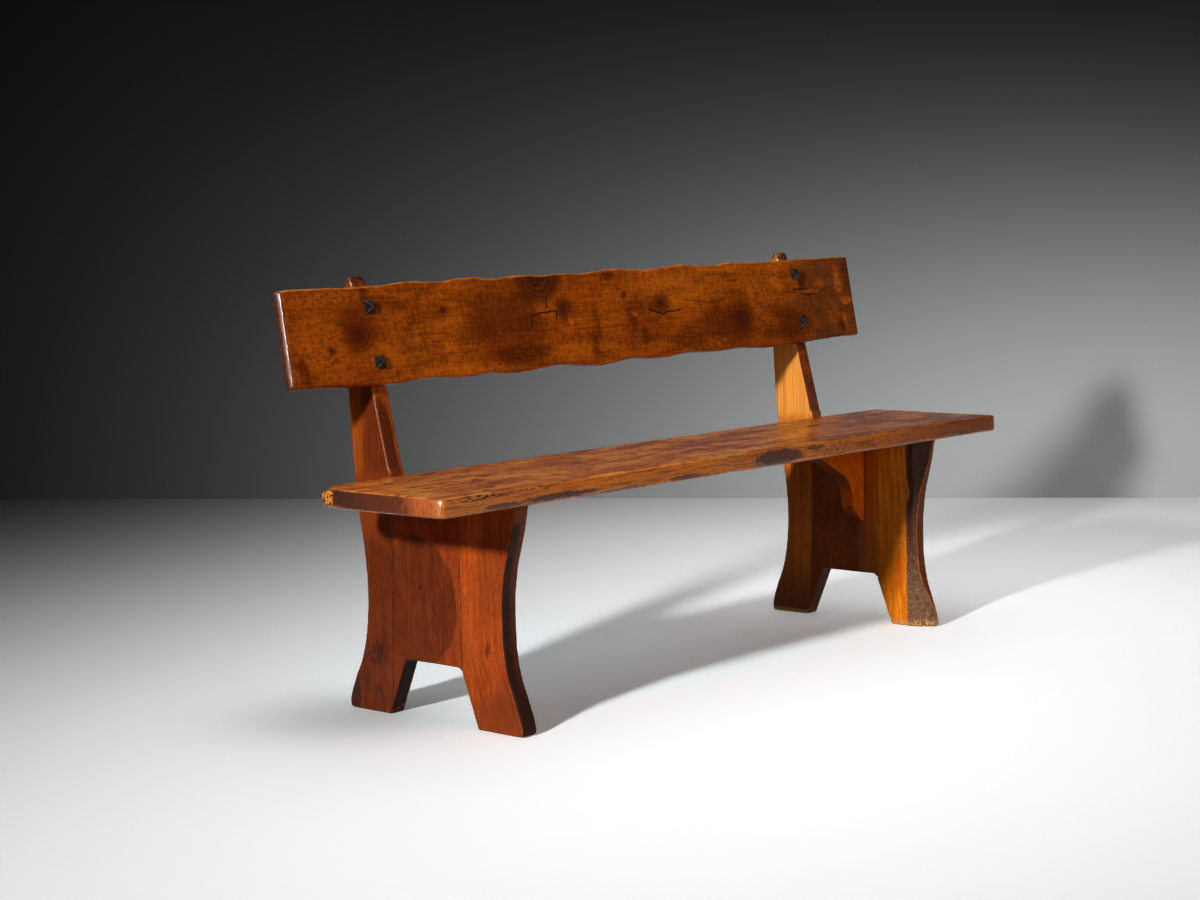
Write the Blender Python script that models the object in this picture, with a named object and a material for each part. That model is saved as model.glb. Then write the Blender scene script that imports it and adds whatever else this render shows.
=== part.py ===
"""Rustic pine bench: a plank seat on two slab legs whose rear boards run up as posts.

A live-edge back board leans on the raked front edge of the posts and is held by four
coach screws with forged heads. Each leg is three boards, doweled and glued edge to edge.
Metres, +Z up, front towards -Y. The origin is on the floor, under the middle of the bench.
"""
import math

import bmesh
import bpy
from mathutils import Matrix, Vector

# Fits
GAP = 0.0003                # between pieces that touch
HOLE_CLEARANCE = 0.0003     # round a dowel or a screw, on the radius

# Seat plank
SEAT_LENGTH = 1.7275
SEAT_FRONT = -0.2315        # where the front edge of the seat lies
SEAT_REAR = 0.0985          # where the rear edge butts the posts
SEAT_HEIGHT = 0.450
SEAT_THICKNESS = 0.035
SEAT_MIDDLE = 0.0079        # the back board reaches further left than the seat
SEAT_ARRIS = 0.0035

# Leg slabs
LEG_THICKNESS = 0.037
LEG_SPACING = 1.296         # between the middles of the two slabs
LEGS_MIDDLE = 0.00165
TOE_ROUND = 0.006           # rounding under the toes
ARCH_HEIGHT = 0.109
ARCH_REAR = 0.0745          # rear corner of the arch, as if it were sharp
ARCH_FRONT = -0.0700        # front corner of the arch, in the same way
ARCH_REAR_ROUND = 0.010
ARCH_FRONT_ROUND = 0.012
FOOT_INNER_REAR = 0.1210    # rear foot's inner corner on the floor
FOOT_INNER_FRONT = -0.1110  # front foot's inner corner on the floor
FRONT_GLUE_LINE = -0.0745   # joint between the front and the middle board
REAR_GLUE_FOOT = 0.1110     # joint between the middle and the rear board, at the arch
REAR_LEDGE = 0.002          # width of the rear board's top under the seat
TOE_SHARE = 0.035           # height of a toe's widest point, as a share of the leg
LEG_ARRIS = 0.0025

# Front edge: height as a share of the leg, and how far it has swept from waist to end
FRONT_SWEEP_UP = [(0.70, 0.184), (0.877, 0.716)]
FRONT_SWEEP_DOWN = [(0.155, 0.60), (0.25, 0.253)]
FRONT_WAIST_SHARE = 0.46
# Rear edge, in the same way
REAR_SWEEP_UP = [(0.77, 0.30), (0.907, 0.73)]
REAR_SWEEP_DOWN = [(0.143, 0.712), (0.25, 0.33), (0.40, 0.066)]
REAR_WAIST_SHARE = 0.59
REAR_WAIST = 0.1735
REAR_HIP = 0.1965           # rear edge at the height of the seat

# The two legs were sawn by hand and differ a little
LEGS = {
    "left": {"side": -1, "front_top": -0.2195, "front_waist": -0.1805, "front_toe": -0.2240, "rear_toe": 0.23125},
    "right": {"side": 1, "front_top": -0.2080, "front_waist": -0.1755, "front_toe": -0.2130, "rear_toe": 0.2200},
}

# Waney front of the right leg: bark side of the log, in plan, from the leg's inner face
WANE_START = 0.0785         # the bark begins this far ahead of the front glue line
WANE_PROFILE = [(0.018, 0.0045), (0.036, 0.0145), (0.053, 0.028)]   # ahead, and into the slab
WANE_REACH = 0.078
WANE_END = 0.049            # depth into the slab at its full reach

# Posts above the seat
POST_RISE = 0.370           # post top above the seat
POST_SHOULDER = 0.013       # square step above the seat where the rake begins
POST_SET_BACK = 0.0042      # depth of that step
RAKE = math.radians(14.0)
POST_BULGE = 0.2100         # rear edge of the post half way up
POST_TOP_REAR = 0.2075
POST_TOP_EASE = 0.011

# Back board
BOARD_LENGTH = 1.719
BOARD_MIDDLE = -0.00585
BOARD_HEIGHT = 0.188
BOARD_THICKNESS = 0.0205
BOARD_BOTTOM = 0.171        # nominal lower edge of its front face above the seat
BOARD_SKEW_LEFT = 0.0125    # the ends are sawn out of square
BOARD_SKEW_RIGHT = 0.0180
BOARD_ARRIS = 0.003
# Live edges: place along the board as a share of its length, and rise from the nominal edge
BOARD_TOP_EDGE = [
    (0.045, -0.0015), (0.140, -0.0022), (0.190, 0.0019), (0.234, -0.0017), (0.284, 0.0031),
    (0.322, -0.0019), (0.360, 0.0015), (0.410, -0.0012), (0.443, 0.0011), (0.470, -0.0015),
    (0.527, 0.0037), (0.589, -0.0016), (0.658, 0.0047), (0.713, -0.0014), (0.752, 0.0032),
    (0.803, 0.0003), (0.873, 0.0016), (0.960, 0.0020),
]
BOARD_BOTTOM_EDGE = [
    (0.018, 0.0045), (0.059, 0.0017), (0.152, -0.0014), (0.194, 0.0030), (0.254, -0.0022),
    (0.289, 0.0006), (0.338, -0.0048), (0.408, 0.0038), (0.481, -0.0062), (0.536, 0.0017),
    (0.591, -0.0037), (0.640, 0.0024), (0.702, -0.0012), (0.746, 0.0015), (0.795, -0.0029),
    (0.873, 0.0), (0.960, 0.0042),
]

# Live front edge of the seat, in the same way; the rise is towards the rear
SEAT_FRONT_EDGE = [
    (0.10, 0.0010), (0.19, 0.0030), (0.28, 0.0004), (0.37, 0.0016), (0.47, 0.0002), (0.535, 0.0034),
    (0.60, 0.0008), (0.70, 0.0018), (0.80, 0.0006), (0.91, 0.0016),
]
SEAT_LEFT_CORNER = 0.008    # rounding of its front corners
SEAT_RIGHT_CORNER = 0.0095
SEAT_REAR_CORNER = 0.005
SEAT_BROKEN = 0.028         # length of the worn rear corner at the left end
# Slanted wear on that corner, over and under: distance in from the sharp corner, and slope
SEAT_WEAR = {"over": (0.0354, math.radians(30.0)), "under": (0.0216, math.radians(66.0))}

# Coach screws with forged pyramid heads
SCREW_HEAD = 0.0245
SCREW_HEAD_RIM = 0.0025
SCREW_HEAD_PEAK = 0.0085
SCREW_DIAMETER = 0.008
SCREW_LENGTH = 0.045
SCREW_TIP = 0.007
SCREW_SPOTS = {             # leg, distance right of the post's middle, height on the board
    "coach_screw_left_upper": ("left", -0.005, 0.1445),
    "coach_screw_left_lower": ("left", -0.005, 0.0400),
    "coach_screw_right_upper": ("right", 0.0015, 0.1540),
    "coach_screw_right_lower": ("right", -0.0025, 0.0460),
}

# Dowels
DOWEL_DIAMETER = 0.010
DOWEL_DEPTH = 0.020         # how far a dowel goes into each of its two pieces
DOWEL_CHAMFER = 0.001
EDGE_DOWEL_HEIGHTS = {"lower": 0.160, "upper": 0.330}
SEAT_DOWELS = {"front": -0.1400, "middle": -0.0300, "rear": 0.0550}
BRACE_DOWEL_ALONG = 0.110   # brace dowel into the seat, from the leg
BRACE_DOWEL_DOWN = 0.090    # brace dowel into the leg, below the seat

# Knee braces between seat and legs
BRACE_REACH = 0.223         # along the seat
BRACE_DROP = 0.191          # down the leg
BRACE_NOSE = 0.006          # blunt end under the seat
BRACE_FRONT = -0.043        # its front face
BRACE_THICKNESS = 0.035
BRACE_ARRIS = 0.002
# Curved edge: share of the reach, share of the drop
BRACE_CURVE = [(0.70, 0.20), (0.435, 0.364), (0.31, 0.445), (0.20, 0.62), (0.177, 0.79), (0.118, 0.91)]

JOINT_BLOCK = 2.0           # side of the blocks that saw a slab into its boards
CURVE_STEPS = 4
ARRIS_SEGMENTS = 2
ROUND_SIDES = 16

# What follows from the sizes above
LEG_TOP = SEAT_HEIGHT - SEAT_THICKNESS
POST_FRONT = SEAT_REAR + GAP
REAR_GLUE_SEAT = SEAT_REAR - REAR_LEDGE     # the same joint, under the seat
RAKE_START = SEAT_HEIGHT + POST_SHOULDER
POST_TOP = SEAT_HEIGHT + POST_RISE

PINE_AMBER = (0.42, 0.115, 0.018)
PINE_RED = (0.40, 0.085, 0.014)
PINE_DARK = (0.33, 0.078, 0.013)
PINE_GOLD = (0.46, 0.150, 0.022)
BEECH = (0.55, 0.33, 0.16)
IRON = (0.015, 0.014, 0.013)


def clear_scene():
    for old in list(bpy.data.objects):
        bpy.data.objects.remove(old, do_unlink=True)


def new_collection(name):
    collection = bpy.data.collections.new(name)
    bpy.context.scene.collection.children.link(collection)
    return collection


def finish(name, colour, roughness, metallic=0.0):
    """A plain material for one piece, coloured as in the photograph."""
    material = bpy.data.materials.new(name + "_finish")
    material.use_nodes = True
    shader = material.node_tree.nodes["Principled BSDF"]
    shader.inputs["Base Color"].default_value = (*colour, 1.0)
    shader.inputs["Roughness"].default_value = roughness
    shader.inputs["Metallic"].default_value = metallic
    return material


def place(mesh, name, frame, collection, material=None):
    """Put a mesh in the scene as a named piece, at its place in the bench."""
    piece = bpy.data.objects.new(name, mesh)
    piece.matrix_world = frame
    collection.objects.link(piece)
    if material:
        mesh.materials.clear()
        mesh.materials.append(material)
    return piece


def smooth(points):
    return [(a, b, "AUTO") for a, b in points]


def corner(*points):
    return [(a, b, "VECTOR") for a, b in points]


def eased(before, tip, after, radius, steps=3):
    """Points of the arc that rounds a corner between the two sides of an outline."""
    tip = Vector(tip)
    back = (Vector(before) - tip).normalized()
    ahead = (Vector(after) - tip).normalized()
    half = back.angle(ahead) / 2
    centre = tip + (back + ahead).normalized() * radius / math.sin(half)
    first = (tip + back * radius / math.tan(half) - centre).normalized()
    last = (tip + ahead * radius / math.tan(half) - centre).normalized()
    return corner(*[centre + radius * first.slerp(last, step / steps) for step in range(steps + 1)])


def board_mesh(name, outline, thickness, arris=0.0, stays_sharp=None):
    """A flat board sawn to an outline, as thick as said, with its arrises rounded over."""
    curve = bpy.data.curves.new(name, "CURVE")
    curve.dimensions = "2D"
    curve.fill_mode = "BOTH"
    curve.extrude = thickness / 2
    curve.resolution_u = CURVE_STEPS
    spline = curve.splines.new("BEZIER")
    spline.bezier_points.add(len(outline) - 1)
    for point, (a, b, kind) in zip(spline.bezier_points, outline):
        point.co = (a, b, 0.0)
        point.handle_left_type = kind
        point.handle_right_type = kind
    spline.use_cyclic_u = True
    drawn = bpy.data.objects.new(name, curve)
    bpy.context.scene.collection.objects.link(drawn)
    bpy.context.view_layer.update()
    mesh = bpy.data.meshes.new_from_object(drawn.evaluated_get(bpy.context.evaluated_depsgraph_get()))
    bpy.data.objects.remove(drawn, do_unlink=True)
    bpy.data.curves.remove(curve)
    shape = bmesh.new()
    shape.from_mesh(mesh)
    bmesh.ops.remove_doubles(shape, verts=shape.verts, dist=0.00002)
    bmesh.ops.recalc_face_normals(shape, faces=shape.faces)
    for way in (1, -1):
        flat = [face for face in shape.faces if face.normal.z * way > 0.9]
        bmesh.ops.dissolve_faces(shape, faces=flat, use_verts=False)
    if arris:
        round_over(shape, arris, stays_sharp)
    wide = [face for face in shape.faces if len(face.verts) > 4]
    bmesh.ops.triangulate(shape, faces=wide, quad_method="BEAUTY", ngon_method="BEAUTY")
    shape.to_mesh(mesh)
    shape.free()
    mesh.name = name
    return mesh


def round_over(shape, arris, stays_sharp):
    """Round the two outlines of a board, apart from the stretches that meet other pieces."""
    rims = []
    for edge in shape.edges:
        flat = [abs(face.normal.z) > 0.9 for face in edge.link_faces]
        if len(flat) != 2 or flat[0] == flat[1]:
            continue
        middle = (edge.verts[0].co + edge.verts[1].co) / 2
        if stays_sharp and stays_sharp(middle.x, middle.y):
            continue
        rims.append(edge)
    bmesh.ops.bevel(
        shape, geom=rims, offset=arris, offset_type="OFFSET", segments=ARRIS_SEGMENTS,
        profile=0.5, affect="EDGES", clamp_overlap=True, material=-1,
    )


def cube_mesh(name, size):
    shape = bmesh.new()
    bmesh.ops.create_cube(shape, size=size)
    mesh = bpy.data.meshes.new(name)
    shape.to_mesh(mesh)
    shape.free()
    return mesh


def solid_rod(name, radius, length, chamfer):
    """A round rod along Z from 0 to length with both ends chamfered."""
    shape = bmesh.new()
    bmesh.ops.create_cone(
        shape, cap_ends=True, segments=ROUND_SIDES, radius1=radius, radius2=radius, depth=length,
        matrix=Matrix.Translation((0.0, 0.0, length / 2)),
    )
    if chamfer:
        ends = [edge for edge in shape.edges if any(len(face.verts) > 4 for face in edge.link_faces)]
        bmesh.ops.bevel(
            shape, geom=ends, offset=chamfer, segments=1, profile=0.5, affect="EDGES", material=-1,
        )
    return to_round_mesh(name, shape)


def to_round_mesh(name, shape):
    mesh = bpy.data.meshes.new(name)
    shape.to_mesh(mesh)
    shape.free()
    mesh.shade_smooth()
    mesh.set_sharp_from_angle(angle=math.radians(40))
    return mesh


def bore(pieces, name, frame, radius, length, cutters):
    """Cut a round hole along the frame's Z axis, from 0 to length, in each of the pieces."""
    drill = place(solid_rod(name, radius, length, 0.0), name, frame, cutters)
    cut_with(pieces, drill)


def cut_with(pieces, cutter):
    cutter.hide_render = True
    cutter.display_type = "WIRE"
    for piece in pieces:
        cut = piece.modifiers.new(cutter.name, "BOOLEAN")
        cut.operation = "DIFFERENCE"
        cut.solver = "EXACT"
        cut.object = cutter


def frame_at(origin, x_axis, y_axis):
    """A placement whose local X and Y run along two square directions."""
    x_axis = Vector(x_axis).normalized()
    y_axis = Vector(y_axis).normalized()
    turn = Matrix((x_axis, y_axis, x_axis.cross(y_axis))).transposed()
    return Matrix.Translation(origin) @ turn.to_4x4()


def leg_middle(side):
    return LEGS_MIDDLE + side * LEG_SPACING / 2


def swept(waist, end, height, sweep):
    """Points of a curved edge that sweeps from its waist to its end."""
    return [(waist + (end - waist) * part, height * share) for share, part in sweep]


def rear_glue(height):
    """The joint between middle and rear board leans a little towards the seat."""
    foot_height = arch_side_height(REAR_GLUE_FOOT)
    part = (height - foot_height) / (LEG_TOP - foot_height)
    return REAR_GLUE_FOOT + (REAR_GLUE_SEAT - REAR_GLUE_FOOT) * part


def arch_side_height(depth):
    """Height on the rear slope of the arch at this depth."""
    return ARCH_HEIGHT * (FOOT_INNER_REAR - depth) / (FOOT_INNER_REAR - ARCH_REAR)


def leg_outline(leg):
    """The whole slab: rear foot, hip, raked post, top under the seat, front foot and arch."""
    rear_toe = leg["rear_toe"]
    front_toe = leg["front_toe"]
    waist = leg["front_waist"]
    front_top = leg["front_top"]
    rear_foot = (FOOT_INNER_REAR, 0.0)
    front_foot = (FOOT_INNER_FRONT, 0.0)
    rear_widest = (rear_toe, LEG_TOP * TOE_SHARE)
    front_widest = (front_toe, LEG_TOP * TOE_SHARE)
    rake_base = POST_FRONT + POST_SET_BACK
    post_crown = rake_base + math.tan(RAKE) * (POST_TOP - POST_TOP_EASE - RAKE_START)

    outline = corner(rear_foot) + eased(rear_foot, (rear_toe, 0.0), rear_widest, TOE_ROUND)
    outline += smooth([rear_widest])
    outline += smooth(swept(REAR_WAIST, rear_toe, LEG_TOP, REAR_SWEEP_DOWN))
    outline += smooth([(REAR_WAIST, LEG_TOP * REAR_WAIST_SHARE)])
    outline += smooth(swept(REAR_WAIST, REAR_HIP, LEG_TOP, REAR_SWEEP_UP))
    outline += smooth([
        (REAR_HIP, SEAT_HEIGHT - SEAT_THICKNESS / 2),
        (POST_BULGE, SEAT_HEIGHT + POST_RISE / 2),
        (POST_TOP_REAR, POST_TOP - POST_TOP_EASE),
        ((POST_TOP_REAR + post_crown) / 2, POST_TOP),
    ])
    outline += corner(
        (post_crown, POST_TOP - POST_TOP_EASE),
        (rake_base, RAKE_START),
        (POST_FRONT, RAKE_START - POST_SET_BACK / 2),
        (POST_FRONT, LEG_TOP - GAP),
        (front_top, LEG_TOP - GAP),
    )
    outline += smooth(reversed(swept(waist, front_top, LEG_TOP, FRONT_SWEEP_UP)))
    outline += smooth([(waist, LEG_TOP * FRONT_WAIST_SHARE)])
    outline += smooth(reversed(swept(waist, front_toe, LEG_TOP, FRONT_SWEEP_DOWN)))
    outline += smooth([front_widest])
    outline += eased(front_widest, (front_toe, 0.0), front_foot, TOE_ROUND)
    outline += corner(front_foot)

    arch_front = (ARCH_FRONT, ARCH_HEIGHT)
    arch_rear = (ARCH_REAR, ARCH_HEIGHT)
    outline += eased(front_foot, arch_front, arch_rear, ARCH_FRONT_ROUND)
    outline += eased(arch_front, arch_rear, rear_foot, ARCH_REAR_ROUND)
    return outline


def slab_frame(side):
    """Leg outlines are drawn in the YZ plane, in the middle of the slab's thickness."""
    return frame_at((leg_middle(side), 0.0, 0.0), (0.0, 1.0, 0.0), (0.0, 0.0, 1.0))


def joint_blocks(cutters):
    """Blocks that fill the space before and behind each joint, and half the gap beyond it."""
    joints = {
        "front": ((FRONT_GLUE_LINE, 0.0), (FRONT_GLUE_LINE, LEG_TOP)),
        "rear": ((REAR_GLUE_FOOT, arch_side_height(REAR_GLUE_FOOT)), (REAR_GLUE_SEAT, LEG_TOP)),
    }
    blocks = {}
    for joint, (low, high) in joints.items():
        plane = frame_at((0.0, *low), (1.0, 0.0, 0.0), (0.0, high[0] - low[0], high[1] - low[1]))
        for where, way in (("before", 1), ("behind", -1)):
            shift = Matrix.Translation((0.0, 0.0, way * (JOINT_BLOCK - GAP) / 2))
            name = joint + "_joint_" + where
            blocks[joint, where] = place(cube_mesh(name, JOINT_BLOCK), name, plane @ shift, cutters)
    return blocks


def make_leg(name, leg, blocks, parts, cutters):
    """Three boards edge to edge, with two dowels across each joint."""
    frame = slab_frame(leg["side"])

    def meets_seat(depth, height):
        under_seat = abs(height - LEG_TOP) < 2 * GAP
        behind_seat = abs(depth - POST_FRONT) < 2 * GAP and height < SEAT_HEIGHT
        return under_seat or behind_seat

    slab = board_mesh(name + "_leg", leg_outline(leg), LEG_THICKNESS, LEG_ARRIS, meets_seat)
    kinds = {
        "rear_board": (PINE_GOLD if name == "right" else PINE_AMBER, [("rear", "before")]),
        "middle_board": (PINE_RED, [("front", "before"), ("rear", "behind")]),
        "front_board": (PINE_RED, [("front", "behind")]),
    }
    boards = {}
    for kind, (colour, sides) in kinds.items():
        label = name + "_leg_" + kind
        boards[kind] = place(slab.copy(), label, frame, parts, finish(label, colour, 0.32))
        boards[kind].data.name = label
        for side in sides:
            cut_with([boards[kind]], blocks[side])
    bpy.data.meshes.remove(slab)

    joints = {"front": ("front_board", "middle_board"), "rear": ("middle_board", "rear_board")}
    for joint, held in joints.items():
        for level, height in EDGE_DOWEL_HEIGHTS.items():
            depth = FRONT_GLUE_LINE if joint == "front" else rear_glue(height)
            label = name + "_leg_" + joint + "_dowel_" + level
            start = Vector((leg_middle(leg["side"]), depth - DOWEL_DEPTH, height))
            along = frame_at(start, (1.0, 0.0, 0.0), (0.0, 0.0, -1.0))
            make_dowel(label, along, [boards[kind] for kind in held], parts, cutters)
    return boards


def make_dowel(label, frame, holders, parts, cutters):
    """A dowel half in each of two pieces, in a hole a little wider and longer than itself."""
    radius = DOWEL_DIAMETER / 2
    mesh = solid_rod(label, radius, 2 * DOWEL_DEPTH, DOWEL_CHAMFER)
    place(mesh, label, frame, parts, finish(label, BEECH, 0.6))
    longer = frame @ Matrix.Translation((0.0, 0.0, -HOLE_CLEARANCE))
    hole_length = 2 * (DOWEL_DEPTH + HOLE_CLEARANCE)
    bore(holders, label + "_hole", longer, radius + HOLE_CLEARANCE, hole_length, cutters)


def saw_wane(board, leg, cutters):
    """The right leg's front board keeps the round of the log on its inner front corner."""
    inner_face = leg_middle(leg["side"]) - leg["side"] * LEG_THICKNESS / 2
    start = FRONT_GLUE_LINE - WANE_START
    outward = leg["side"]
    bark = [(inner_face, start)]
    bark += [(inner_face + outward * deep, start - ahead) for ahead, deep in WANE_PROFILE]
    bark += [(inner_face + outward * WANE_END, start - WANE_REACH)]
    outline = smooth(bark)
    beyond = start - 2 * WANE_REACH
    before = inner_face - outward * LEG_THICKNESS
    outline += corner(
        (inner_face + outward * WANE_END, beyond),
        (before, beyond),
        (before, start + LEG_THICKNESS / 2),
    )
    name = "right_leg_wane_cutter"
    mesh = board_mesh(name, outline, 2 * LEG_TOP)
    frame = Matrix.Translation((0.0, 0.0, LEG_TOP / 2))
    cut_with([board], place(mesh, name, frame, cutters))


def seat_outline():
    """Seat in plan: live front edge, straight rear edge and one worn corner."""
    left = SEAT_MIDDLE - SEAT_LENGTH / 2
    right = SEAT_MIDDLE + SEAT_LENGTH / 2
    outline = eased((left, SEAT_REAR), (left, SEAT_FRONT), (right, SEAT_FRONT), SEAT_LEFT_CORNER)
    outline += smooth([(left + share * SEAT_LENGTH, SEAT_FRONT + rise) for share, rise in SEAT_FRONT_EDGE])
    outline += eased((left, SEAT_FRONT), (right, SEAT_FRONT), (right, SEAT_REAR), SEAT_RIGHT_CORNER)
    outline += eased((right, SEAT_FRONT), (right, SEAT_REAR), (left, SEAT_REAR), SEAT_REAR_CORNER)
    outline += corner((left + SEAT_BROKEN, SEAT_REAR))
    outline += smooth([
        (left + 0.50 * SEAT_BROKEN, SEAT_REAR - 0.20 * SEAT_BROKEN),
        (left + 0.24 * SEAT_BROKEN, SEAT_REAR - 0.62 * SEAT_BROKEN),
        (left + 0.07 * SEAT_BROKEN, SEAT_REAR - 1.40 * SEAT_BROKEN),
    ])
    return outline


def make_seat(parts, cutters):
    mesh = board_mesh("seat_plank", seat_outline(), SEAT_THICKNESS, SEAT_ARRIS)
    frame = Matrix.Translation((0.0, 0.0, SEAT_HEIGHT - SEAT_THICKNESS / 2))
    seat = place(mesh, "seat_plank", frame, parts, finish("seat_plank", PINE_RED, 0.38))
    for where, (inset, slope) in SEAT_WEAR.items():
        wear_corner(seat, where, inset, slope, cutters)
    return seat


def wear_corner(seat, where, inset, slope, cutters):
    """Cut a slanted flat on the worn corner, from the top or from the underside of the seat."""
    outward = Vector((-1.0, 1.0, 0.0)).normalized()
    upward = Vector((0.0, 0.0, 1.0 if where == "over" else -1.0))
    face = SEAT_HEIGHT if where == "over" else LEG_TOP
    sharp = Vector((SEAT_MIDDLE - SEAT_LENGTH / 2, SEAT_REAR, face))
    off = outward * math.sin(slope) + upward * math.cos(slope)
    down_slope = outward * math.cos(slope) - upward * math.sin(slope)
    size = 4 * SEAT_BROKEN
    name = "seat_wear_" + where
    frame = frame_at(sharp - outward * inset + off * size / 2, off.cross(down_slope), down_slope)
    cut_with([seat], place(cube_mesh(name, size), name, frame, cutters))


def fix_seat(seat, boards_of, parts, cutters):
    """Three hidden dowels a leg hold the seat down on the end grain of the slabs."""
    for name, leg in LEGS.items():
        for place_name, depth in SEAT_DOWELS.items():
            label = name + "_seat_dowel_" + place_name
            start = Vector((leg_middle(leg["side"]), depth, LEG_TOP - DOWEL_DEPTH))
            kind = "front_board" if depth < FRONT_GLUE_LINE else "middle_board"
            upright = frame_at(start, (1.0, 0.0, 0.0), (0.0, 1.0, 0.0))
            make_dowel(label, upright, [seat, boards_of[name][kind]], parts, cutters)


def brace_outline(side):
    """Knee brace in the XZ plane, drawn from the corner between leg and seat."""
    inner_face = leg_middle(side) - side * (LEG_THICKNESS / 2 + GAP)
    top = LEG_TOP - GAP

    def at(reach, drop):
        return (inner_face - side * reach, top - drop)

    outline = corner(at(0.0, 0.0), at(BRACE_REACH, 0.0), at(BRACE_REACH, BRACE_NOSE))
    outline += smooth([at(BRACE_REACH * along, BRACE_DROP * down) for along, down in BRACE_CURVE])
    outline += corner(at(BRACE_NOSE / 2, BRACE_DROP), at(0.0, BRACE_DROP))
    return outline


def make_brace(name, leg, seat, boards, parts, cutters):
    """A curved knee brace in the corner of seat and leg, with a dowel into each."""
    side = leg["side"]
    inner_face = leg_middle(side) - side * LEG_THICKNESS / 2
    label = name + "_knee_brace"
    middle_depth = BRACE_FRONT + BRACE_THICKNESS / 2

    def on_joint(across, height):
        return abs(across - inner_face) < 2 * GAP or abs(height - LEG_TOP) < 2 * GAP

    mesh = board_mesh(label, brace_outline(side), BRACE_THICKNESS, BRACE_ARRIS, on_joint)
    frame = frame_at((0.0, middle_depth, 0.0), (1.0, 0.0, 0.0), (0.0, 0.0, 1.0))
    brace = place(mesh, label, frame, parts, finish(label, PINE_GOLD, 0.35))

    up_start = Vector((inner_face - side * BRACE_DOWEL_ALONG, middle_depth, LEG_TOP - DOWEL_DEPTH))
    up = frame_at(up_start, (1.0, 0.0, 0.0), (0.0, 1.0, 0.0))
    make_dowel(label + "_seat_dowel", up, [brace, seat], parts, cutters)
    side_start = Vector((inner_face - DOWEL_DEPTH, middle_depth, LEG_TOP - BRACE_DOWEL_DOWN))
    sideways = frame_at(side_start, (0.0, 1.0, 0.0), (0.0, 0.0, 1.0))
    make_dowel(label + "_leg_dowel", sideways, [brace, boards["middle_board"]], parts, cutters)


def board_frame():
    """Frame of the back board: X along it, Y up its front face, Z out of that face."""
    rake_base = POST_FRONT + POST_SET_BACK
    bottom = SEAT_HEIGHT + BOARD_BOTTOM
    on_post = rake_base + math.tan(RAKE) * (bottom - RAKE_START)
    front = on_post - (BOARD_THICKNESS + GAP) / math.cos(RAKE)
    up_board = (0.0, math.sin(RAKE), math.cos(RAKE))
    return frame_at((0.0, front, bottom), (1.0, 0.0, 0.0), up_board)


def back_board_outline():
    """Live upper and lower edges between two ends sawn a little out of square."""
    left = BOARD_MIDDLE - BOARD_LENGTH / 2
    right = BOARD_MIDDLE + BOARD_LENGTH / 2
    lower = [(left + share * BOARD_LENGTH, rise) for share, rise in BOARD_BOTTOM_EDGE]
    upper = [(left + share * BOARD_LENGTH, BOARD_HEIGHT + rise) for share, rise in BOARD_TOP_EDGE]
    outline = corner((left - BOARD_SKEW_LEFT / 2, BOARD_BOTTOM_EDGE[0][1]))
    outline += smooth(lower)
    outline += corner(
        (right - BOARD_SKEW_RIGHT / 2, BOARD_BOTTOM_EDGE[-1][1]),
        (right + BOARD_SKEW_RIGHT / 2, BOARD_HEIGHT + BOARD_TOP_EDGE[-1][1]),
    )
    outline += smooth(reversed(upper))
    outline += corner((left + BOARD_SKEW_LEFT / 2, BOARD_HEIGHT + BOARD_TOP_EDGE[0][1]))
    return outline


def make_back_board(parts):
    mesh = board_mesh("back_board", back_board_outline(), BOARD_THICKNESS, BOARD_ARRIS)
    frame = board_frame() @ Matrix.Translation((0.0, 0.0, -BOARD_THICKNESS / 2))
    return place(mesh, "back_board", frame, parts, finish("back_board", PINE_DARK, 0.30))


def screw_mesh():
    """Coach screw along Z: forged pyramid head above 0, plain shank and point below."""
    shape = bmesh.new()
    head = bmesh.ops.create_cube(shape, size=1.0)["verts"]
    bmesh.ops.scale(shape, vec=(SCREW_HEAD, SCREW_HEAD, SCREW_HEAD_RIM), verts=head)
    bmesh.ops.translate(shape, vec=(0.0, 0.0, SCREW_HEAD_RIM / 2), verts=head)
    top = max(shape.faces, key=lambda face: face.calc_center_median().z)
    bmesh.ops.inset_individual(shape, faces=[top], thickness=SCREW_HEAD * 0.46)
    for vert in top.verts:
        vert.co.z = SCREW_HEAD_PEAK
    under = min(shape.faces, key=lambda face: face.calc_center_median().z)
    bmesh.ops.delete(shape, geom=[under], context="FACES_ONLY")
    rim = [edge for edge in shape.edges if edge.is_boundary]
    rod = bmesh.ops.create_circle(
        shape, cap_ends=False, radius=SCREW_DIAMETER / 2, segments=ROUND_SIDES,
    )["verts"]
    collar = list({edge for vert in rod for edge in vert.link_edges})
    bmesh.ops.triangle_fill(shape, edges=rim + collar, use_beauty=True, normal=(0.0, 0.0, -1.0))
    drawn = bmesh.ops.extrude_edge_only(shape, edges=collar)["geom"]
    ring = [item for item in drawn if isinstance(item, bmesh.types.BMVert)]
    bmesh.ops.translate(shape, vec=(0.0, 0.0, SCREW_TIP - SCREW_LENGTH), verts=ring)
    lower = [item for item in drawn if isinstance(item, bmesh.types.BMEdge)]
    tip = bmesh.ops.extrude_edge_only(shape, edges=lower)["geom"]
    point = [item for item in tip if isinstance(item, bmesh.types.BMVert)]
    bmesh.ops.translate(shape, vec=(0.0, 0.0, -SCREW_TIP), verts=point)
    bmesh.ops.pointmerge(shape, verts=point, merge_co=(0.0, 0.0, -SCREW_LENGTH))
    bmesh.ops.recalc_face_normals(shape, faces=shape.faces)
    return to_round_mesh("coach_screw", shape)


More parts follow.
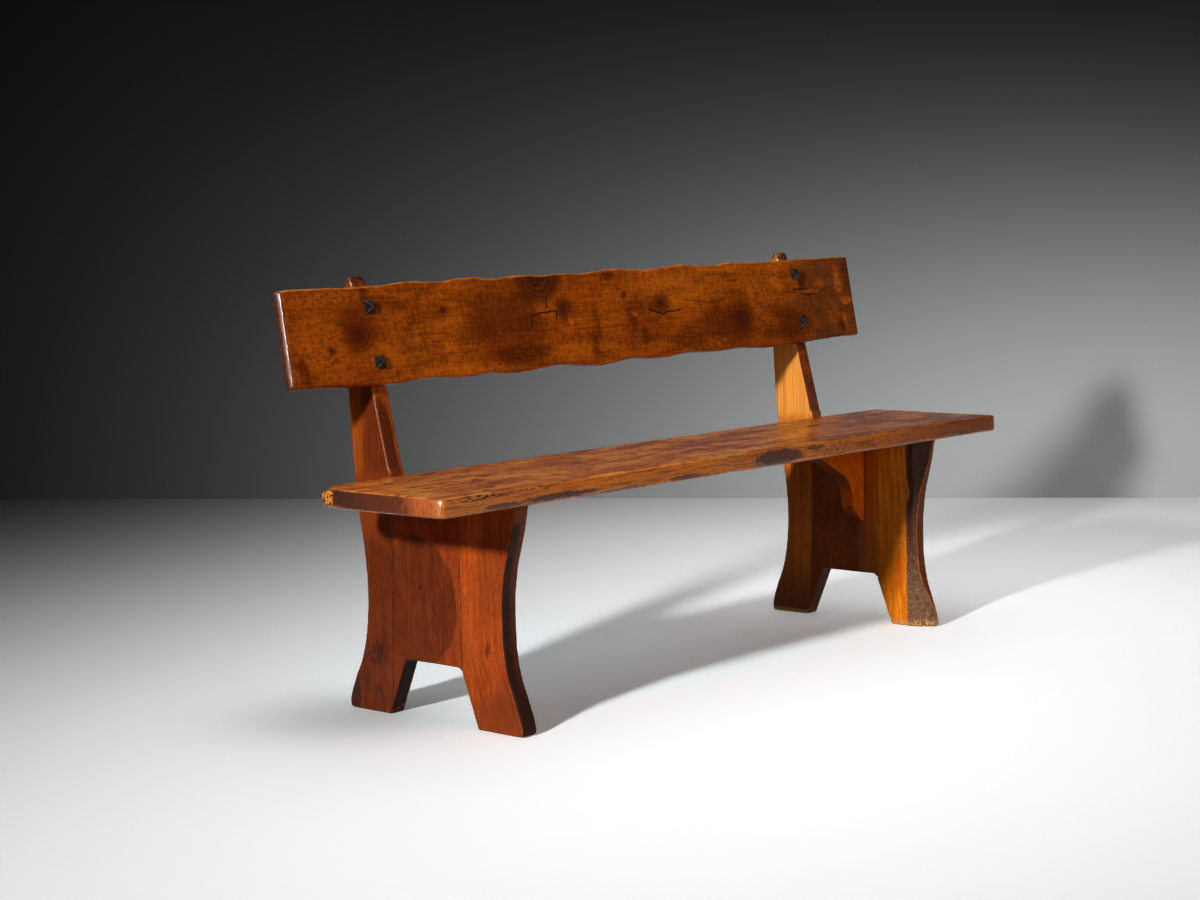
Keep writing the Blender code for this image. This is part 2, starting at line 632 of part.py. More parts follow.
def fix_back_board(board, boards_of, parts, cutters):
    """Four coach screws go through the board into the posts, square to the board."""
    shared = screw_mesh()
    shared.materials.append(finish("coach_screw", IRON, 0.45, 0.9))
    for label, (name, across, up) in SCREW_SPOTS.items():
        spot = Vector((leg_middle(LEGS[name]["side"]) + across, up, GAP))
        frame = board_frame() @ Matrix.Translation(spot)
        place(shared, label, frame, parts)
        drill_start = frame @ Matrix.Translation((0.0, 0.0, -SCREW_LENGTH - HOLE_CLEARANCE))
        radius = SCREW_DIAMETER / 2 + HOLE_CLEARANCE
        holders = [board, boards_of[name]["rear_board"]]
        bore(holders, label + "_hole", drill_start, radius, SCREW_LENGTH + SCREW_HEAD, cutters)


def build():
    clear_scene()
    parts = new_collection("pine_bench")
    cutters = new_collection("pine_bench_cutters")
    seat = make_seat(parts, cutters)
    blocks = joint_blocks(cutters)
    boards_of = {name: make_leg(name, leg, blocks, parts, cutters) for name, leg in LEGS.items()}
    saw_wane(boards_of["right"]["front_board"], LEGS["right"], cutters)
    fix_seat(seat, boards_of, parts, cutters)
    for name, leg in LEGS.items():
        make_brace(name, leg, seat, boards_of[name], parts, cutters)
    board = make_back_board(parts)
    fix_back_board(board, boards_of, parts, cutters)


build()
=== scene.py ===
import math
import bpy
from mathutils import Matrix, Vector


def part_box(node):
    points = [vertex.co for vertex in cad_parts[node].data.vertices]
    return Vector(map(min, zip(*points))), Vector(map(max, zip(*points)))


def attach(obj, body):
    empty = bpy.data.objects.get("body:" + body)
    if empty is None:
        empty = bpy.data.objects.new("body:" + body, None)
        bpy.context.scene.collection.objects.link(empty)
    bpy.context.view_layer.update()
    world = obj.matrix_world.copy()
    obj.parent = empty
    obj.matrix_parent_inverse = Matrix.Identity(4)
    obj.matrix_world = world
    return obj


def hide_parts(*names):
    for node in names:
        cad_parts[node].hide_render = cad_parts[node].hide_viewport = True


bl_info = {
    "name": "Rustic Pine Bench Finish",
    "version": (1, 0, 0),
    "blender": (4, 5, 0),
    "location": "3D View > Sidebar > Bench",
    "description": "Dresses the packed pine bench: worn timber, forged screw heads, floor, lamps and camera",
    "category": "Object",
}

import bmesh
import bpy
from mathutils import Matrix, Vector, noise

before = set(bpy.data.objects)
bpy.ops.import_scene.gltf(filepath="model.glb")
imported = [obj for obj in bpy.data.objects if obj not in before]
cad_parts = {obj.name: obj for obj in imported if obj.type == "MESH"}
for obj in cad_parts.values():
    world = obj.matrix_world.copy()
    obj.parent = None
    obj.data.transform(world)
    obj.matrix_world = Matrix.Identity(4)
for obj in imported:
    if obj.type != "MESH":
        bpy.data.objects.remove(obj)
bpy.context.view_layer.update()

MM = 0.001

# Places and directions in the bench, in metres
BOARD_TILT = math.radians(14.0)
BOARD_FOOT = (0.12096, 0.621)       # depth and height where the board's front face starts
LEG_MIDDLES = {"left": -0.64635, "right": 0.64965}
LEG_BOARDS = ("rear_board", "middle_board", "front_board")
POST = (0.43, 0.47)                 # heights between which a rear board turns into the post
POST_TOP = (0.790, 0.812)           # heights between which the worn top of a post starts
LEFT, RIGHT, FRONT, UP, DOWN = (-1, 0, 0), (1, 0, 0), (0, -1, 0), (0, 0, 1), (0, 0, -1)
GLINT = (-0.863, -0.430, 0.263)     # halfway between the key lamp and the camera


# ---------------------------------------------------------------- settings
class BenchTimber(bpy.types.PropertyGroup):
    """Colours and surface of the varnished pine."""

    seat_colour: bpy.props.FloatVectorProperty(
        name="Seat colour", description="Reddish brown of the seat plank", subtype="COLOR",
        size=3, min=0.0, max=1.0, default=(1.0, 0.245, 0.030))
    board_colour: bpy.props.FloatVectorProperty(
        name="Back board colour", description="Amber brown of the back board", subtype="COLOR",
        size=3, min=0.0, max=1.0, default=(0.44, 0.078, 0.0030))
    roughness: bpy.props.FloatProperty(
        name="Roughness", description="Roughness of the worn varnish", min=0.05, max=1.0,
        default=0.34, subtype="FACTOR")
    carve_size: bpy.props.FloatProperty(
        name="Carving size", description="Edge length of the mesh that the worn timber is carved from",
        min=0.001, max=0.02, default=0.0029, unit="LENGTH")


class BenchStage(bpy.types.PropertyGroup):
    """Camera, lamps and floor."""

    camera_place: bpy.props.FloatVectorProperty(
        name="Camera place", description="Where the camera stands", size=3, subtype="TRANSLATION",
        unit="LENGTH", default=(-3.64085, -3.1087, 0.9533))
    camera_yaw: bpy.props.FloatProperty(
        name="Camera yaw", description="Turn of the camera from the bench's depth axis",
        default=math.radians(47.9502), unit="ROTATION")
    camera_pitch: bpy.props.FloatProperty(
        name="Camera pitch", description="Tilt of the camera above the horizon",
        default=math.radians(-6.0661), unit="ROTATION")
    camera_roll: bpy.props.FloatProperty(
        name="Camera roll", description="Roll of the camera", default=math.radians(-1.3425), unit="ROTATION")
    lens: bpy.props.FloatProperty(
        name="Lens", description="Focal length on a 36 mm wide sensor", default=71.18, min=10.0, unit="CAMERA")
    key_strength: bpy.props.FloatProperty(
        name="Key strength", description="Power of the low key lamp", default=37.0, min=0.0, unit="POWER")
    top_strength: bpy.props.FloatProperty(
        name="Top strength", description="Power of the soft lamp above the bench",
        default=10.0, min=0.0, unit="POWER")
    front_strength: bpy.props.FloatProperty(
        name="Front strength", description="Power of the soft lamp before the bench",
        default=24.0, min=0.0, unit="POWER")
    surround: bpy.props.FloatProperty(
        name="Surround", description="Brightness of the even light from all round", default=0.10, min=0.0)


# ---------------------------------------------------------------- shader writing
class Wire:
    """A socket of a shader. The operators of Python add Math nodes to it."""

    def __init__(self, finish, socket):
        self.finish = finish
        self.socket = socket

    def __add__(self, other):
        return self.finish.maths("ADD", self, other)

    def __radd__(self, other):
        return self.finish.maths("ADD", other, self)

    def __sub__(self, other):
        return self.finish.maths("SUBTRACT", self, other)

    def __rsub__(self, other):
        return self.finish.maths("SUBTRACT", other, self)

    def __mul__(self, other):
        return self.finish.maths("MULTIPLY", self, other)

    def __rmul__(self, other):
        return self.finish.maths("MULTIPLY", other, self)

    def __truediv__(self, other):
        return self.finish.maths("DIVIDE", self, other)

    def __rtruediv__(self, other):
        return self.finish.maths("DIVIDE", other, self)

    def __pow__(self, other):
        return self.finish.maths("POWER", self, other)

    def __abs__(self):
        return self.finish.maths("ABSOLUTE", self)


class Finish:
    """One material, and the ways in which its nodes are added."""

    def __init__(self, name):
        self.material = bpy.data.materials.new(name)
        self.material.use_nodes = True
        self.tree = self.material.node_tree
        self.shader = self.tree.nodes["Principled BSDF"]
        self.place = self.wire("ShaderNodeTexCoord", out="Object")

    def node(self, kind, settings=None, sockets=None):
        """A node from its type, its settings, and the values or links of its sockets."""
        node = self.tree.nodes.new(kind)
        for key, value in (settings or {}).items():
            setattr(node, key, value)
        for key, value in (sockets or {}).items():
            self.feed(node.inputs[key], value)
        return node

    def wire(self, kind, settings=None, sockets=None, out=0):
        """One output of a new node."""
        return Wire(self, self.node(kind, settings, sockets).outputs[out])

    def feed(self, socket, value):
        if isinstance(value, Wire):
            self.tree.links.new(value.socket, socket)
        elif hasattr(socket.default_value, "__len__") and len(socket.default_value) == 4 and len(value) == 3:
            socket.default_value = (*value, 1.0)
        else:
            socket.default_value = value

    def maths(self, operation, *values):
        return self.wire("ShaderNodeMath", {"operation": operation}, dict(enumerate(values)))

    def largest(self, first, *others):
        for other in others:
            first = self.maths("MAXIMUM", first, other)
        return first

    def vectors(self, operation, *values, out=0, **extra):
        return self.wire("ShaderNodeVectorMath", {"operation": operation}, {**dict(enumerate(values)), **extra}, out)

    def along(self, wire, direction):
        """How far a place lies along a direction."""
        return self.vectors("DOT_PRODUCT", wire, direction, out="Value")

    def join(self, *values):
        return self.wire("ShaderNodeCombineXYZ", None, dict(enumerate(values)))

    def speckle(self, place, scale, detail=2.0, roughness=0.5):
        """Noise between 0 and 1 at a place."""
        return self.wire("ShaderNodeTexNoise", {"noise_dimensions": "3D"}, {
            "Vector": place, "Scale": scale, "Detail": detail, "Roughness": roughness}, "Fac")

    def fade(self, value, low, high, to_low=0.0, to_high=1.0):
        """A smooth step from to_low, where the value is low, to to_high, where it is high."""
        return self.wire("ShaderNodeMapRange", {"interpolation_type": "SMOOTHSTEP"}, {
            "Value": value, "From Min": low, "From Max": high, "To Min": to_low, "To Max": to_high}, "Result")

    def blend(self, amount, first, second, kind="MIX"):
        node = self.node("ShaderNodeMix", {"data_type": "RGBA", "blend_type": kind, "clamp_factor": True})
        for key, value in (("Factor_Float", amount), ("A_Color", first), ("B_Color", second)):
            self.feed(next(s for s in node.inputs if s.identifier == key), value)
        return Wire(self, next(s for s in node.outputs if s.identifier == "Result_Color"))

    def mixed(self, value, low, high, first, second):
        """One colour where a value is low, fading to another where it is high."""
        return self.blend(self.fade(value, low, high), first, second)

    def set(self, **values):
        for key, value in values.items():
            self.feed(self.shader.inputs[key.replace("_", " ")], value)

    def relief(self, height, distance):
        self.set(Normal=self.wire("ShaderNodeBump", None, {"Height": height, "Distance": distance}))


def tinted(colour, factor, towards=(0.0, 0.0, 0.0), share=0.0):
    """A colour made lighter or darker, and drawn some way towards another."""
    return tuple(min(1.0, c * factor * (1 - share) + t * share) for c, t in zip(colour, towards))


class Timber(Finish):
    """Varnished pine: growth rings round a pith, fibres, saw marks, mottling, knots, stains and cracks.

    Knots, spots and cracks have their places on the face, along the grain and across it, in millimetres.
    Everything else is in metres. wood holds the colour so far."""

    def __init__(self, name, grain, across, depth, pith, colours, seed=0.0):
        super().__init__(name)
        self.grain, self.pith, self.seed = grain, pith, seed
        self.base, self.dark, self.light = colours
        self.long, self.wide, self.deep = [self.along(self.place, axis) for axis in (grain, across, depth)]
        self.drift = self.join(self.long + seed, self.wide * 1.5, self.deep * 1.5)
        ripple = self.speckle(self.drift, 26.0, 4.0, 0.6) - 0.5
        sway = self.speckle(self.moved(7.3, 1.1, 4.2), 26.0, 4.0, 0.6) - 0.5
        self.face = self.join(self.long + ripple * 0.026, self.wide + sway * 0.02, 0.0)
        self.normal = self.wire("ShaderNodeNewGeometry", out="Normal")
        self.cloud = self.speckle(self.moved(1.7, 5.0, 0.0), 30.0, 5.0, 0.62)
        self.fibre = self.streaks(12.0, 190.0, 190.0)
        self.grit = self.speckle(self.moved(0.6, 2.0, 3.0), 85.0, 4.0, 0.7)
        self.height = self.cloud * 0.4 + self.fibre * 0.16
        self.gloss = self.cloud * 0.2
        self.wood = None

    def moved(self, *step):
        """A place elsewhere in the noise, so that two noises of one scale differ."""
        return self.vectors("ADD", self.drift, step)

    def streaks(self, long, wide, deep, detail=3.0, roughness=0.7, start=0.0):
        """Noise drawn out along the grain, from its scales along the piece, across it and through it."""
        place = self.join(self.long * long + start, self.wide * wide, self.deep * deep)
        return self.speckle(place, 1.0, detail, roughness)

    def step(self, low, high, *ends):
        """A smooth step along the grain."""
        return self.fade(self.long, low, high, *ends)

    def ragged(self, value, low, high, rag, *ends):
        """A smooth step with an uneven border."""
        return self.fade(value + (self.cloud - 0.5) * rag, low, high, *ends)

    def paint(self, mask, colour):
        self.wood = self.blend(mask, self.wood, colour)

    def facing(self, direction, low=0.6, high=0.9):
        """A mask of the faces that look in a direction."""
        return self.fade(self.along(self.normal, direction), low, high)

    def reach(self, along, across, length, width):
        """Distance from a place on the face, as a share of the spans along and across the grain."""
        shift = (-along / length, -across / width, 0.0)
        away = self.vectors("MULTIPLY_ADD", self.face, (1.0 / (length * MM), 1.0 / (width * MM), 0.0), shift)
        return self.vectors("LENGTH", away, out="Value")

    def spots(self, places, soft=0.45):
        """A mask of elliptical spots; a place is (along, across, span along, span across, weight)."""
        return self.largest(*[
            self.fade(self.reach(*place), 1.0 - soft, 1.0 + soft, weight, 0.0) for *place, weight in places])

    def line(self, start, end, width, wobble):
        """A mask along a crack from one place on the face to another."""
        start, end = Vector((*start, 0.0)) * MM, Vector((*end, 0.0)) * MM
        run = (end - start).normalized()
        side = Vector((-run.y, run.x, 0.0))
        middle, half = (start + end) / 2, (end - start).length / 2
        flat = self.join(self.long, self.wide, 0.0)
        along = abs(self.along(flat, tuple(run)) - middle.dot(run))
        off = self.along(flat, tuple(side)) - middle.dot(side) + (self.speckle(self.drift, 70.0, 2.0) - 0.5) * wobble
        return self.fade(abs(off), width * 0.3, width, 1.0, 0.0) * self.fade(along, half * 0.75, half, 1.0, 0.0)

    def rings(self, knots, spacing, pull=1.3):
        """Growth rings, drawn round the knots; a knot is (along, across, radius)."""
        wave = self.speckle(self.drift, 5.0, 3.0) - 0.5
        side = self.wide - self.pith[0] + wave * 0.035
        down = self.deep - self.pith[1] + wave * 0.02
        radius = (side * side + down * down) ** 0.5
        for long, wide, size in knots:
            near = self.reach(long, wide, size * 3.2, size * 2.2)
            radius = radius + self.maths("EXPONENT", near * near * -1.0) * (size * MM * pull)
        turn = self.maths("FRACT", radius / spacing + self.long * 0.8)
        return self.fade(turn, 0.25, 0.92) * self.fade(turn, 0.94, 1.0, 1.0, 0.0)

    def body(self, knots=(), spacing=0.008, rings=0.35, mottle=0.6, fibres=0.45, saw=0.0, pits=0.5):
        """The main colour, with everything that the whole piece shares."""
        broad = self.streaks(3.2, 13.0, 13.0, 4.0, 0.6, self.seed)
        self.wood = self.mixed(broad, 0.36, 0.64, self.base, self.light)
        self.paint(self.rings(knots, spacing) * rings, self.dark)
        layers = [
            (self.cloud, 0.47, 0.62, mottle, self.dark),
            (self.grit, 0.46, 0.34, mottle * 0.6, self.light),
            (self.grit, 0.49, 0.64, mottle, self.dark),
            (self.fibre, 0.47, 0.34, fibres * 0.7, self.light),
            (self.fibre, 0.5, 0.62, fibres, self.dark),
        ]
        if saw:
            marks = self.streaks(240.0, 42.0, 0.0)
            patch = self.fade(self.speckle(self.drift, 12.0, 2.0), 0.36, 0.6)
            layers.append((marks, 0.5, 0.64, patch * saw, tinted(self.dark, 0.7)))
            layers.append((marks, 0.44, 0.32, patch * saw * 0.8, self.light))
            self.height = self.height - self.fade(marks, 0.5, 0.65) * patch * 0.25
        fine = self.streaks(330.0, 60.0 if saw else 260.0, 260.0, 2.0)
        layers.append((fine, 0.51, 0.58, pits * 0.7, self.dark))
        layers.append((fine, 0.46, 0.39, pits * 0.55, self.light))
        for value, low, high, weight, colour in layers:
            self.paint(self.fade(value, low, high) * weight, colour)
        specks = self.fade(self.speckle(self.moved(3.3, 0.4, 8.0), 120.0, 1.0), 0.66, 0.72)
        self.paint(specks * pits, tinted(self.dark, 0.35))
        self.height = self.height - specks * 0.5

    def knots(self, knots, heart):
        """Knots: a dark heart with its own rings in a red halo."""
        for long, wide, size in knots:
            near = self.reach(long, wide, size * 1.2, size) + (self.cloud - 0.5) * 1.2
            ripple = self.maths("SINE", near * 13.0 + self.cloud * 8.0) * 0.5 + 0.5
            self.paint(self.fade(near, 0.8, 3.2, 0.65, 0.0), tinted(self.dark, 0.9, (0.3, 0.02, 0.006), 0.15))
            self.paint(self.fade(near, 1.0, 2.4, 0.75, 0.0) * ripple, tinted(self.dark, 0.55))
            self.paint(self.fade(near, 0.6, 1.15, 0.92, 0.0), heart)
            self.height = self.height + self.fade(near, 0.7, 1.3, -0.4, 0.0)

    def cracks(self, lines, width):
        """Dark open cracks; a line is (start, end)."""
        mask = self.largest(*[self.line(start, end, width, width * 4.0) for start, end in lines])
        self.height = self.height - mask * 1.6
        self.paint(mask * 0.93, (0.012, 0.004, 0.002))

    def dress(self, roughness, coat=0.02, relief=0.0012, ends=0.55, density=1.14):
        """Send the colour, the gloss and the relief to the shader."""
        end_grain = self.fade(abs(self.along(self.normal, self.grain)), 0.78, 0.95)
        pores = self.speckle(self.vectors("SCALE", self.place, Scale=240.0), 1.0, 2.0)
        self.paint(end_grain * ends, tinted(self.dark, 0.5, (0.06, 0.02, 0.012), 0.4))
        self.paint(end_grain * self.fade(pores, 0.52, 0.7) * ends, (0.03, 0.01, 0.006))
        shine = self.facing(GLINT, 0.93, 0.985)
        self.set(Base_Color=self.wood, Coat_Weight=shine * 0.6 + coat, Coat_Roughness=0.15, IOR=density)
        self.set(Roughness=self.gloss + self.fibre * 0.08 + (roughness - 0.12) + end_grain * 0.12)
        self.relief(self.height, relief)
        return self.material


# ---------------------------------------------------------------- meshes
def object_from(shape, name):
    """An object in the scene that takes over the mesh of a bmesh."""
    mesh = bpy.data.meshes.new(name)
    shape.to_mesh(mesh)
    shape.free()
    thing = bpy.data.objects.new(name, mesh)
    bpy.context.scene.collection.objects.link(thing)
    return thing


def piece_from(shape, node, material):
    """A finished piece of timber that stands for a CAD node."""
    piece = object_from(shape, node + "_timber")
    piece.data.shade_smooth()
    piece.data.materials.append(material)
    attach(piece, "root")
    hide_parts(node)


def smooth(shape, verts):
    bmesh.ops.smooth_vert(shape, verts=verts, factor=0.5, use_axis_x=True, use_axis_y=True, use_axis_z=True)


def carve(node, voxel, wear, turn=None, worn=None, rubs=10):
    """Remesh a copy of a node finely and move its skin along its normal by wear(place, normal).

    The node is turned back by turn for the remesh, so that its faces follow the voxels. worn(place) picks the
    arrises that use has rounded further, and rubs says how often they are smoothed."""
    turn = turn or Matrix.Identity(4)
    shape = bmesh.new()
    shape.from_mesh(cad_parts[node].data)
    bmesh.ops.remove_doubles(shape, verts=shape.verts, dist=0.00001)
    bmesh.ops.transform(shape, matrix=turn.inverted(), verts=shape.verts)
    block = object_from(shape, node + "_block")
    mesh = block.data
    remesh = block.modifiers.new("fine", "REMESH")
    remesh.mode = "VOXEL"
    remesh.voxel_size = voxel
    bpy.context.view_layer.update()
    fine = bpy.data.meshes.new_from_object(block.evaluated_get(bpy.context.evaluated_depsgraph_get()))
    bpy.data.objects.remove(block, do_unlink=True)
    bpy.data.meshes.remove(mesh)
    shape = bmesh.new()
    shape.from_mesh(fine)
    bpy.data.meshes.remove(fine)
    smooth(shape, shape.verts)
    bmesh.ops.transform(shape, matrix=turn, verts=shape.verts)
    for _ in range(rubs if worn else 0):
        smooth(shape, [vert for vert in shape.verts if worn(vert.co)])
    shape.normal_update()
    for vert, move in [(vert, vert.normal * wear(vert.co, vert.normal)) for vert in shape.verts]:
        vert.co += move
    shape.normal_update()
    return shape


def hand_wear(place, normal, amount=0.0003, chip=0.004):
    """The unevenness that a hand plane and years of use leave."""
    slow = noise.noise(place * 11.0) * amount
    edge = 1.0 - max(abs(normal.x), abs(normal.y), abs(normal.z))
    return slow - max(0.0, noise.noise(place * 55.0) - 0.15) * edge * chip


# ---------------------------------------------------------------- the pieces
class BENCH_OT_seat(bpy.types.Operator):
    """Carve and finish the seat plank"""
    bl_idname = "bench.seat"
    bl_label = "Seat plank"

    BROKEN = 0.912          # the rear corner of the left end is broken off where depth less length passes this

    KNOTS = [(800, -100, 11), (203, -67, 8), (-173, 72, 7), (-560, -40, 9)]
    FLECKS = [
        (-636, -141, 30, 6, 0.9), (-173, 75, 35, 8, 0.8), (193, -69, 40, 7, 0.8), (-300, -50, 50, 6, 0.6),
        (450, 20, 50, 10, 0.5),
    ]
    GOLD = [
        (-600, -160, 160, 30, 0.5), (-300, 20, 200, 20, 0.5), (-720, 0, 100, 50, 0.4), (100, -150, 180, 22, 0.4),
        (700, -160, 120, 30, 0.35),
    ]
    # on the front edge, along the seat and up from the floor
    BARK = [
        (-700, 423.5, 50, 5, 0.9), (-550, 424.5, 100, 5.5, 0.95), (-210, 422, 45, 4.5, 0.8), (85, 432, 75, 15, 0.95),
        (200, 441, 30, 6, 0.7), (-390, 418, 60, 4, 0.7),
    ]
    PITS = [(-760, 444, 85, 5, 1.0), (-600, 445, 70, 4, 0.8), (280, 430, 50, 10, 0.7), (-20, 444, 100, 4, 0.6)]

    def execute(self, context):
        timber = context.scene.bench_timber
        base = tuple(timber.seat_colour)
        colours = (base, tinted(base, 0.55), tinted(base, 1.15, (1.0, 0.4, 0.04), 0.2))
        wood = Timber("seat_varnish", (1, 0, 0), (0, 1, 0), (0, 0, 1), (-0.06, 0.3), colours, 2.0)
        wood.body(self.KNOTS, spacing=0.011, rings=0.3, mottle=0.55, fibres=0.5)
        # painted shade: darker towards the right end, standing in for the key lamp's fall-off with distance, which
        # the lamp's constant fall-off leaves out
        wood.paint(wood.step(-0.35, 0.8, 0.0, 0.85), tinted(base, 0.48, (0.4, 0.07, 0.004), 0.2))
        figure = wood.streaks(24.0, 28.0, 28.0, 3.0, 0.6, 3.0)
        streak = wood.streaks(9.0, 36.0, 36.0, 4.0, 0.65)
        threads = wood.streaks(26.0, 150.0, 150.0)
        broad = wood.streaks(7.0, 26.0, 26.0, 3.0, 0.6, 1.0)
        dashes = wood.streaks(30.0, 55.0, 55.0, 2.0, 0.6)
        far = wood.step(-0.2, 0.6)
        strength = wood.step(-0.5, 0.1, 0.6, 1.0)
        # noise, where it starts and is full, weight, colour at the left end and at the right end; the darker
        # right-end colours hold painted shade for the key lamp's fall-off with distance
        for value, low, high, weight, near, distant in (
            (figure, 0.49, 0.6, 0.55, (0.72, 0.12, 0.018), (0.34, 0.05, 0.008)),
            (figure, 0.47, 0.38, 0.5, (1.0, 0.36, 0.045), (0.8, 0.21, 0.018)),
            (streak, 0.48, 0.39, 0.8, (1.0, 0.36, 0.055), (0.78, 0.2, 0.018)),
            (streak, 0.5, 0.58, 0.85, (0.58, 0.104, 0.018), (0.21, 0.038, 0.009)),
            (threads, 0.47, 0.36, 0.6, (1.0, 0.38, 0.07), (0.82, 0.23, 0.03)),
            (threads, 0.51, 0.62, 0.65, (0.54, 0.096, 0.018), (0.19, 0.034, 0.009)),
            (figure, 0.56, 0.44, wood.spots(self.GOLD), wood.light, wood.light),
            (broad, 0.47, 0.41, strength * 0.95, (1.0, 0.35, 0.055), (0.8, 0.21, 0.02)),
            (broad, 0.51, 0.57, strength, (0.5, 0.084, 0.015), (0.2, 0.035, 0.008)),
            (dashes, 0.58, 0.65, 0.85, (0.15, 0.028, 0.01), (0.15, 0.028, 0.01)),
            (dashes, 0.4, 0.35, 0.6, (1.0, 0.42, 0.09), (0.9, 0.27, 0.04)),
        ):
            wood.paint(wood.fade(value, low, high) * weight, wood.blend(far, near, distant))
        wood.paint(wood.spots(self.FLECKS, 0.3), (0.07, 0.018, 0.008))
        wood.knots(self.KNOTS, (0.1, 0.022, 0.01))
        self.front_edge(wood)
        self.ends(wood)
        material = wood.dress(timber.roughness, coat=0.22, relief=0.0009, ends=0.0, density=1.34)
        piece_from(carve("seat_plank", timber.carve_size * 1.3, self.wear), "seat_plank", material)
        return {"FINISHED"}

    def front_edge(self, wood):
        front = wood.facing(FRONT, 0.45, 0.8)
        far = wood.step(0.15, 0.85)
        stripe = wood.streaks(9.0, 0.0, 210.0, 4.0)
        for mask, near, distant in (
            (0.9, (0.8, 0.205, 0.015), (0.32, 0.064, 0.005)),
            (wood.fade(stripe, 0.44, 0.34) * 0.7, (0.92, 0.31, 0.04), (0.48, 0.12, 0.012)),
            (wood.fade(stripe, 0.5, 0.6) * 0.75, (0.26, 0.05, 0.006), (0.12, 0.022, 0.003)),
        ):
            wood.paint(front * mask, wood.blend(far, near, distant))
        rag = wood.speckle(wood.place, 60.0, 5.0, 0.65) - 0.5
        flat, wood.face = wood.face, wood.join(wood.long + rag * 0.07, wood.deep + rag * 0.014, 0.0)
        scratch = wood.streaks(70.0, 0.0, 260.0, 3.0, 0.6)
        bark = wood.spots(self.BARK, 0.15) * front
        pits = wood.spots(self.PITS, 0.5) * front * wood.fade(scratch, 0.5, 0.56)
        wood.face = flat
        wood.paint(bark, wood.mixed(scratch, 0.45, 0.55, (0.12, 0.045, 0.026), (0.065, 0.026, 0.017)))
        wood.paint(pits, (0.03, 0.012, 0.006))
        crumbs = wood.fade(wood.streaks(110.0, 0.0, 170.0), 0.54, 0.62)
        wood.paint(front * wood.step(-0.2, 0.4, 0.35, 0.75) * crumbs, (0.06, 0.018, 0.008))
        wood.height = wood.height - bark * 0.8 - pits * 0.8

    def ends(self, wood):
        """The sawn left end, with painted sheen towards its front, a painted highlight at its front corner and the
        broken rear corner, and the right end.
        """
        end = wood.facing(LEFT, 0.55, 0.85)
        depth = wood.wide + (wood.cloud - 0.5) * 0.08
        wood.paint(end, wood.mixed(depth, -0.1, 0.07, (0.13, 0.028, 0.01), (0.06, 0.015, 0.006)))
        # painted sheen of the key lamp on the front part of the left end
        wood.paint(end * wood.fade(depth, -0.115, -0.185), (0.56, 0.13, 0.026))
        wood.paint(end * wood.fade(depth, -0.205, -0.222) * 0.8, (0.7, 0.23, 0.06))
        grain = wood.speckle(wood.join(wood.wide * 260.0, wood.deep * 60.0, 0.0), 1.0, 3.0, 0.6)
        wood.paint(end * wood.fade(grain, 0.5, 0.6) * 0.45, (0.045, 0.012, 0.006))
        below = wood.fade(wood.deep + (wood.grit - 0.5) * 0.015, 0.425, 0.418) * wood.fade(wood.wide, 0.01, 0.055)
        wood.paint(end * below * 0.75, (0.56, 0.14, 0.024))
        tip = wood.fade(wood.wide - wood.long + (wood.grit - 0.5) * 0.03, 0.898, 0.906)
        rough = wood.speckle(wood.place, 170.0, 4.0, 0.7)
        wood.paint(tip, wood.mixed(rough, 0.47, 0.53, (0.95, 0.36, 0.055), (0.08, 0.022, 0.009)))
        # painted highlight at the top of the front-left corner
        corner = wood.step(-0.845, -0.851) * wood.fade(wood.deep, 0.425, 0.44)
        wood.paint(wood.facing(GLINT, 0.945, 0.99) * corner * 0.9, (1.0, 0.86, 0.74))
        wood.paint(wood.facing(RIGHT, 0.55, 0.85), (0.22, 0.06, 0.018))

    def wear(self, place, normal):
        move = hand_wear(place, normal)
        if normal.y < -0.4:             # the live front edge
            move += noise.noise(Vector((place.x * 9.0, 3.1, place.z * 30.0))) * 0.0012
            move += noise.noise(Vector((place.x * 45.0, 5.0, place.z * 90.0))) * 0.0006
        beyond = place.y - place.x - self.BROKEN
        if beyond > 0.0:
            rough = noise.noise(place * 70.0) * 0.0035 + noise.noise(place * 190.0) * 0.0018 - 0.0012
            move += min(1.0, beyond / 0.012) * rough
        return move


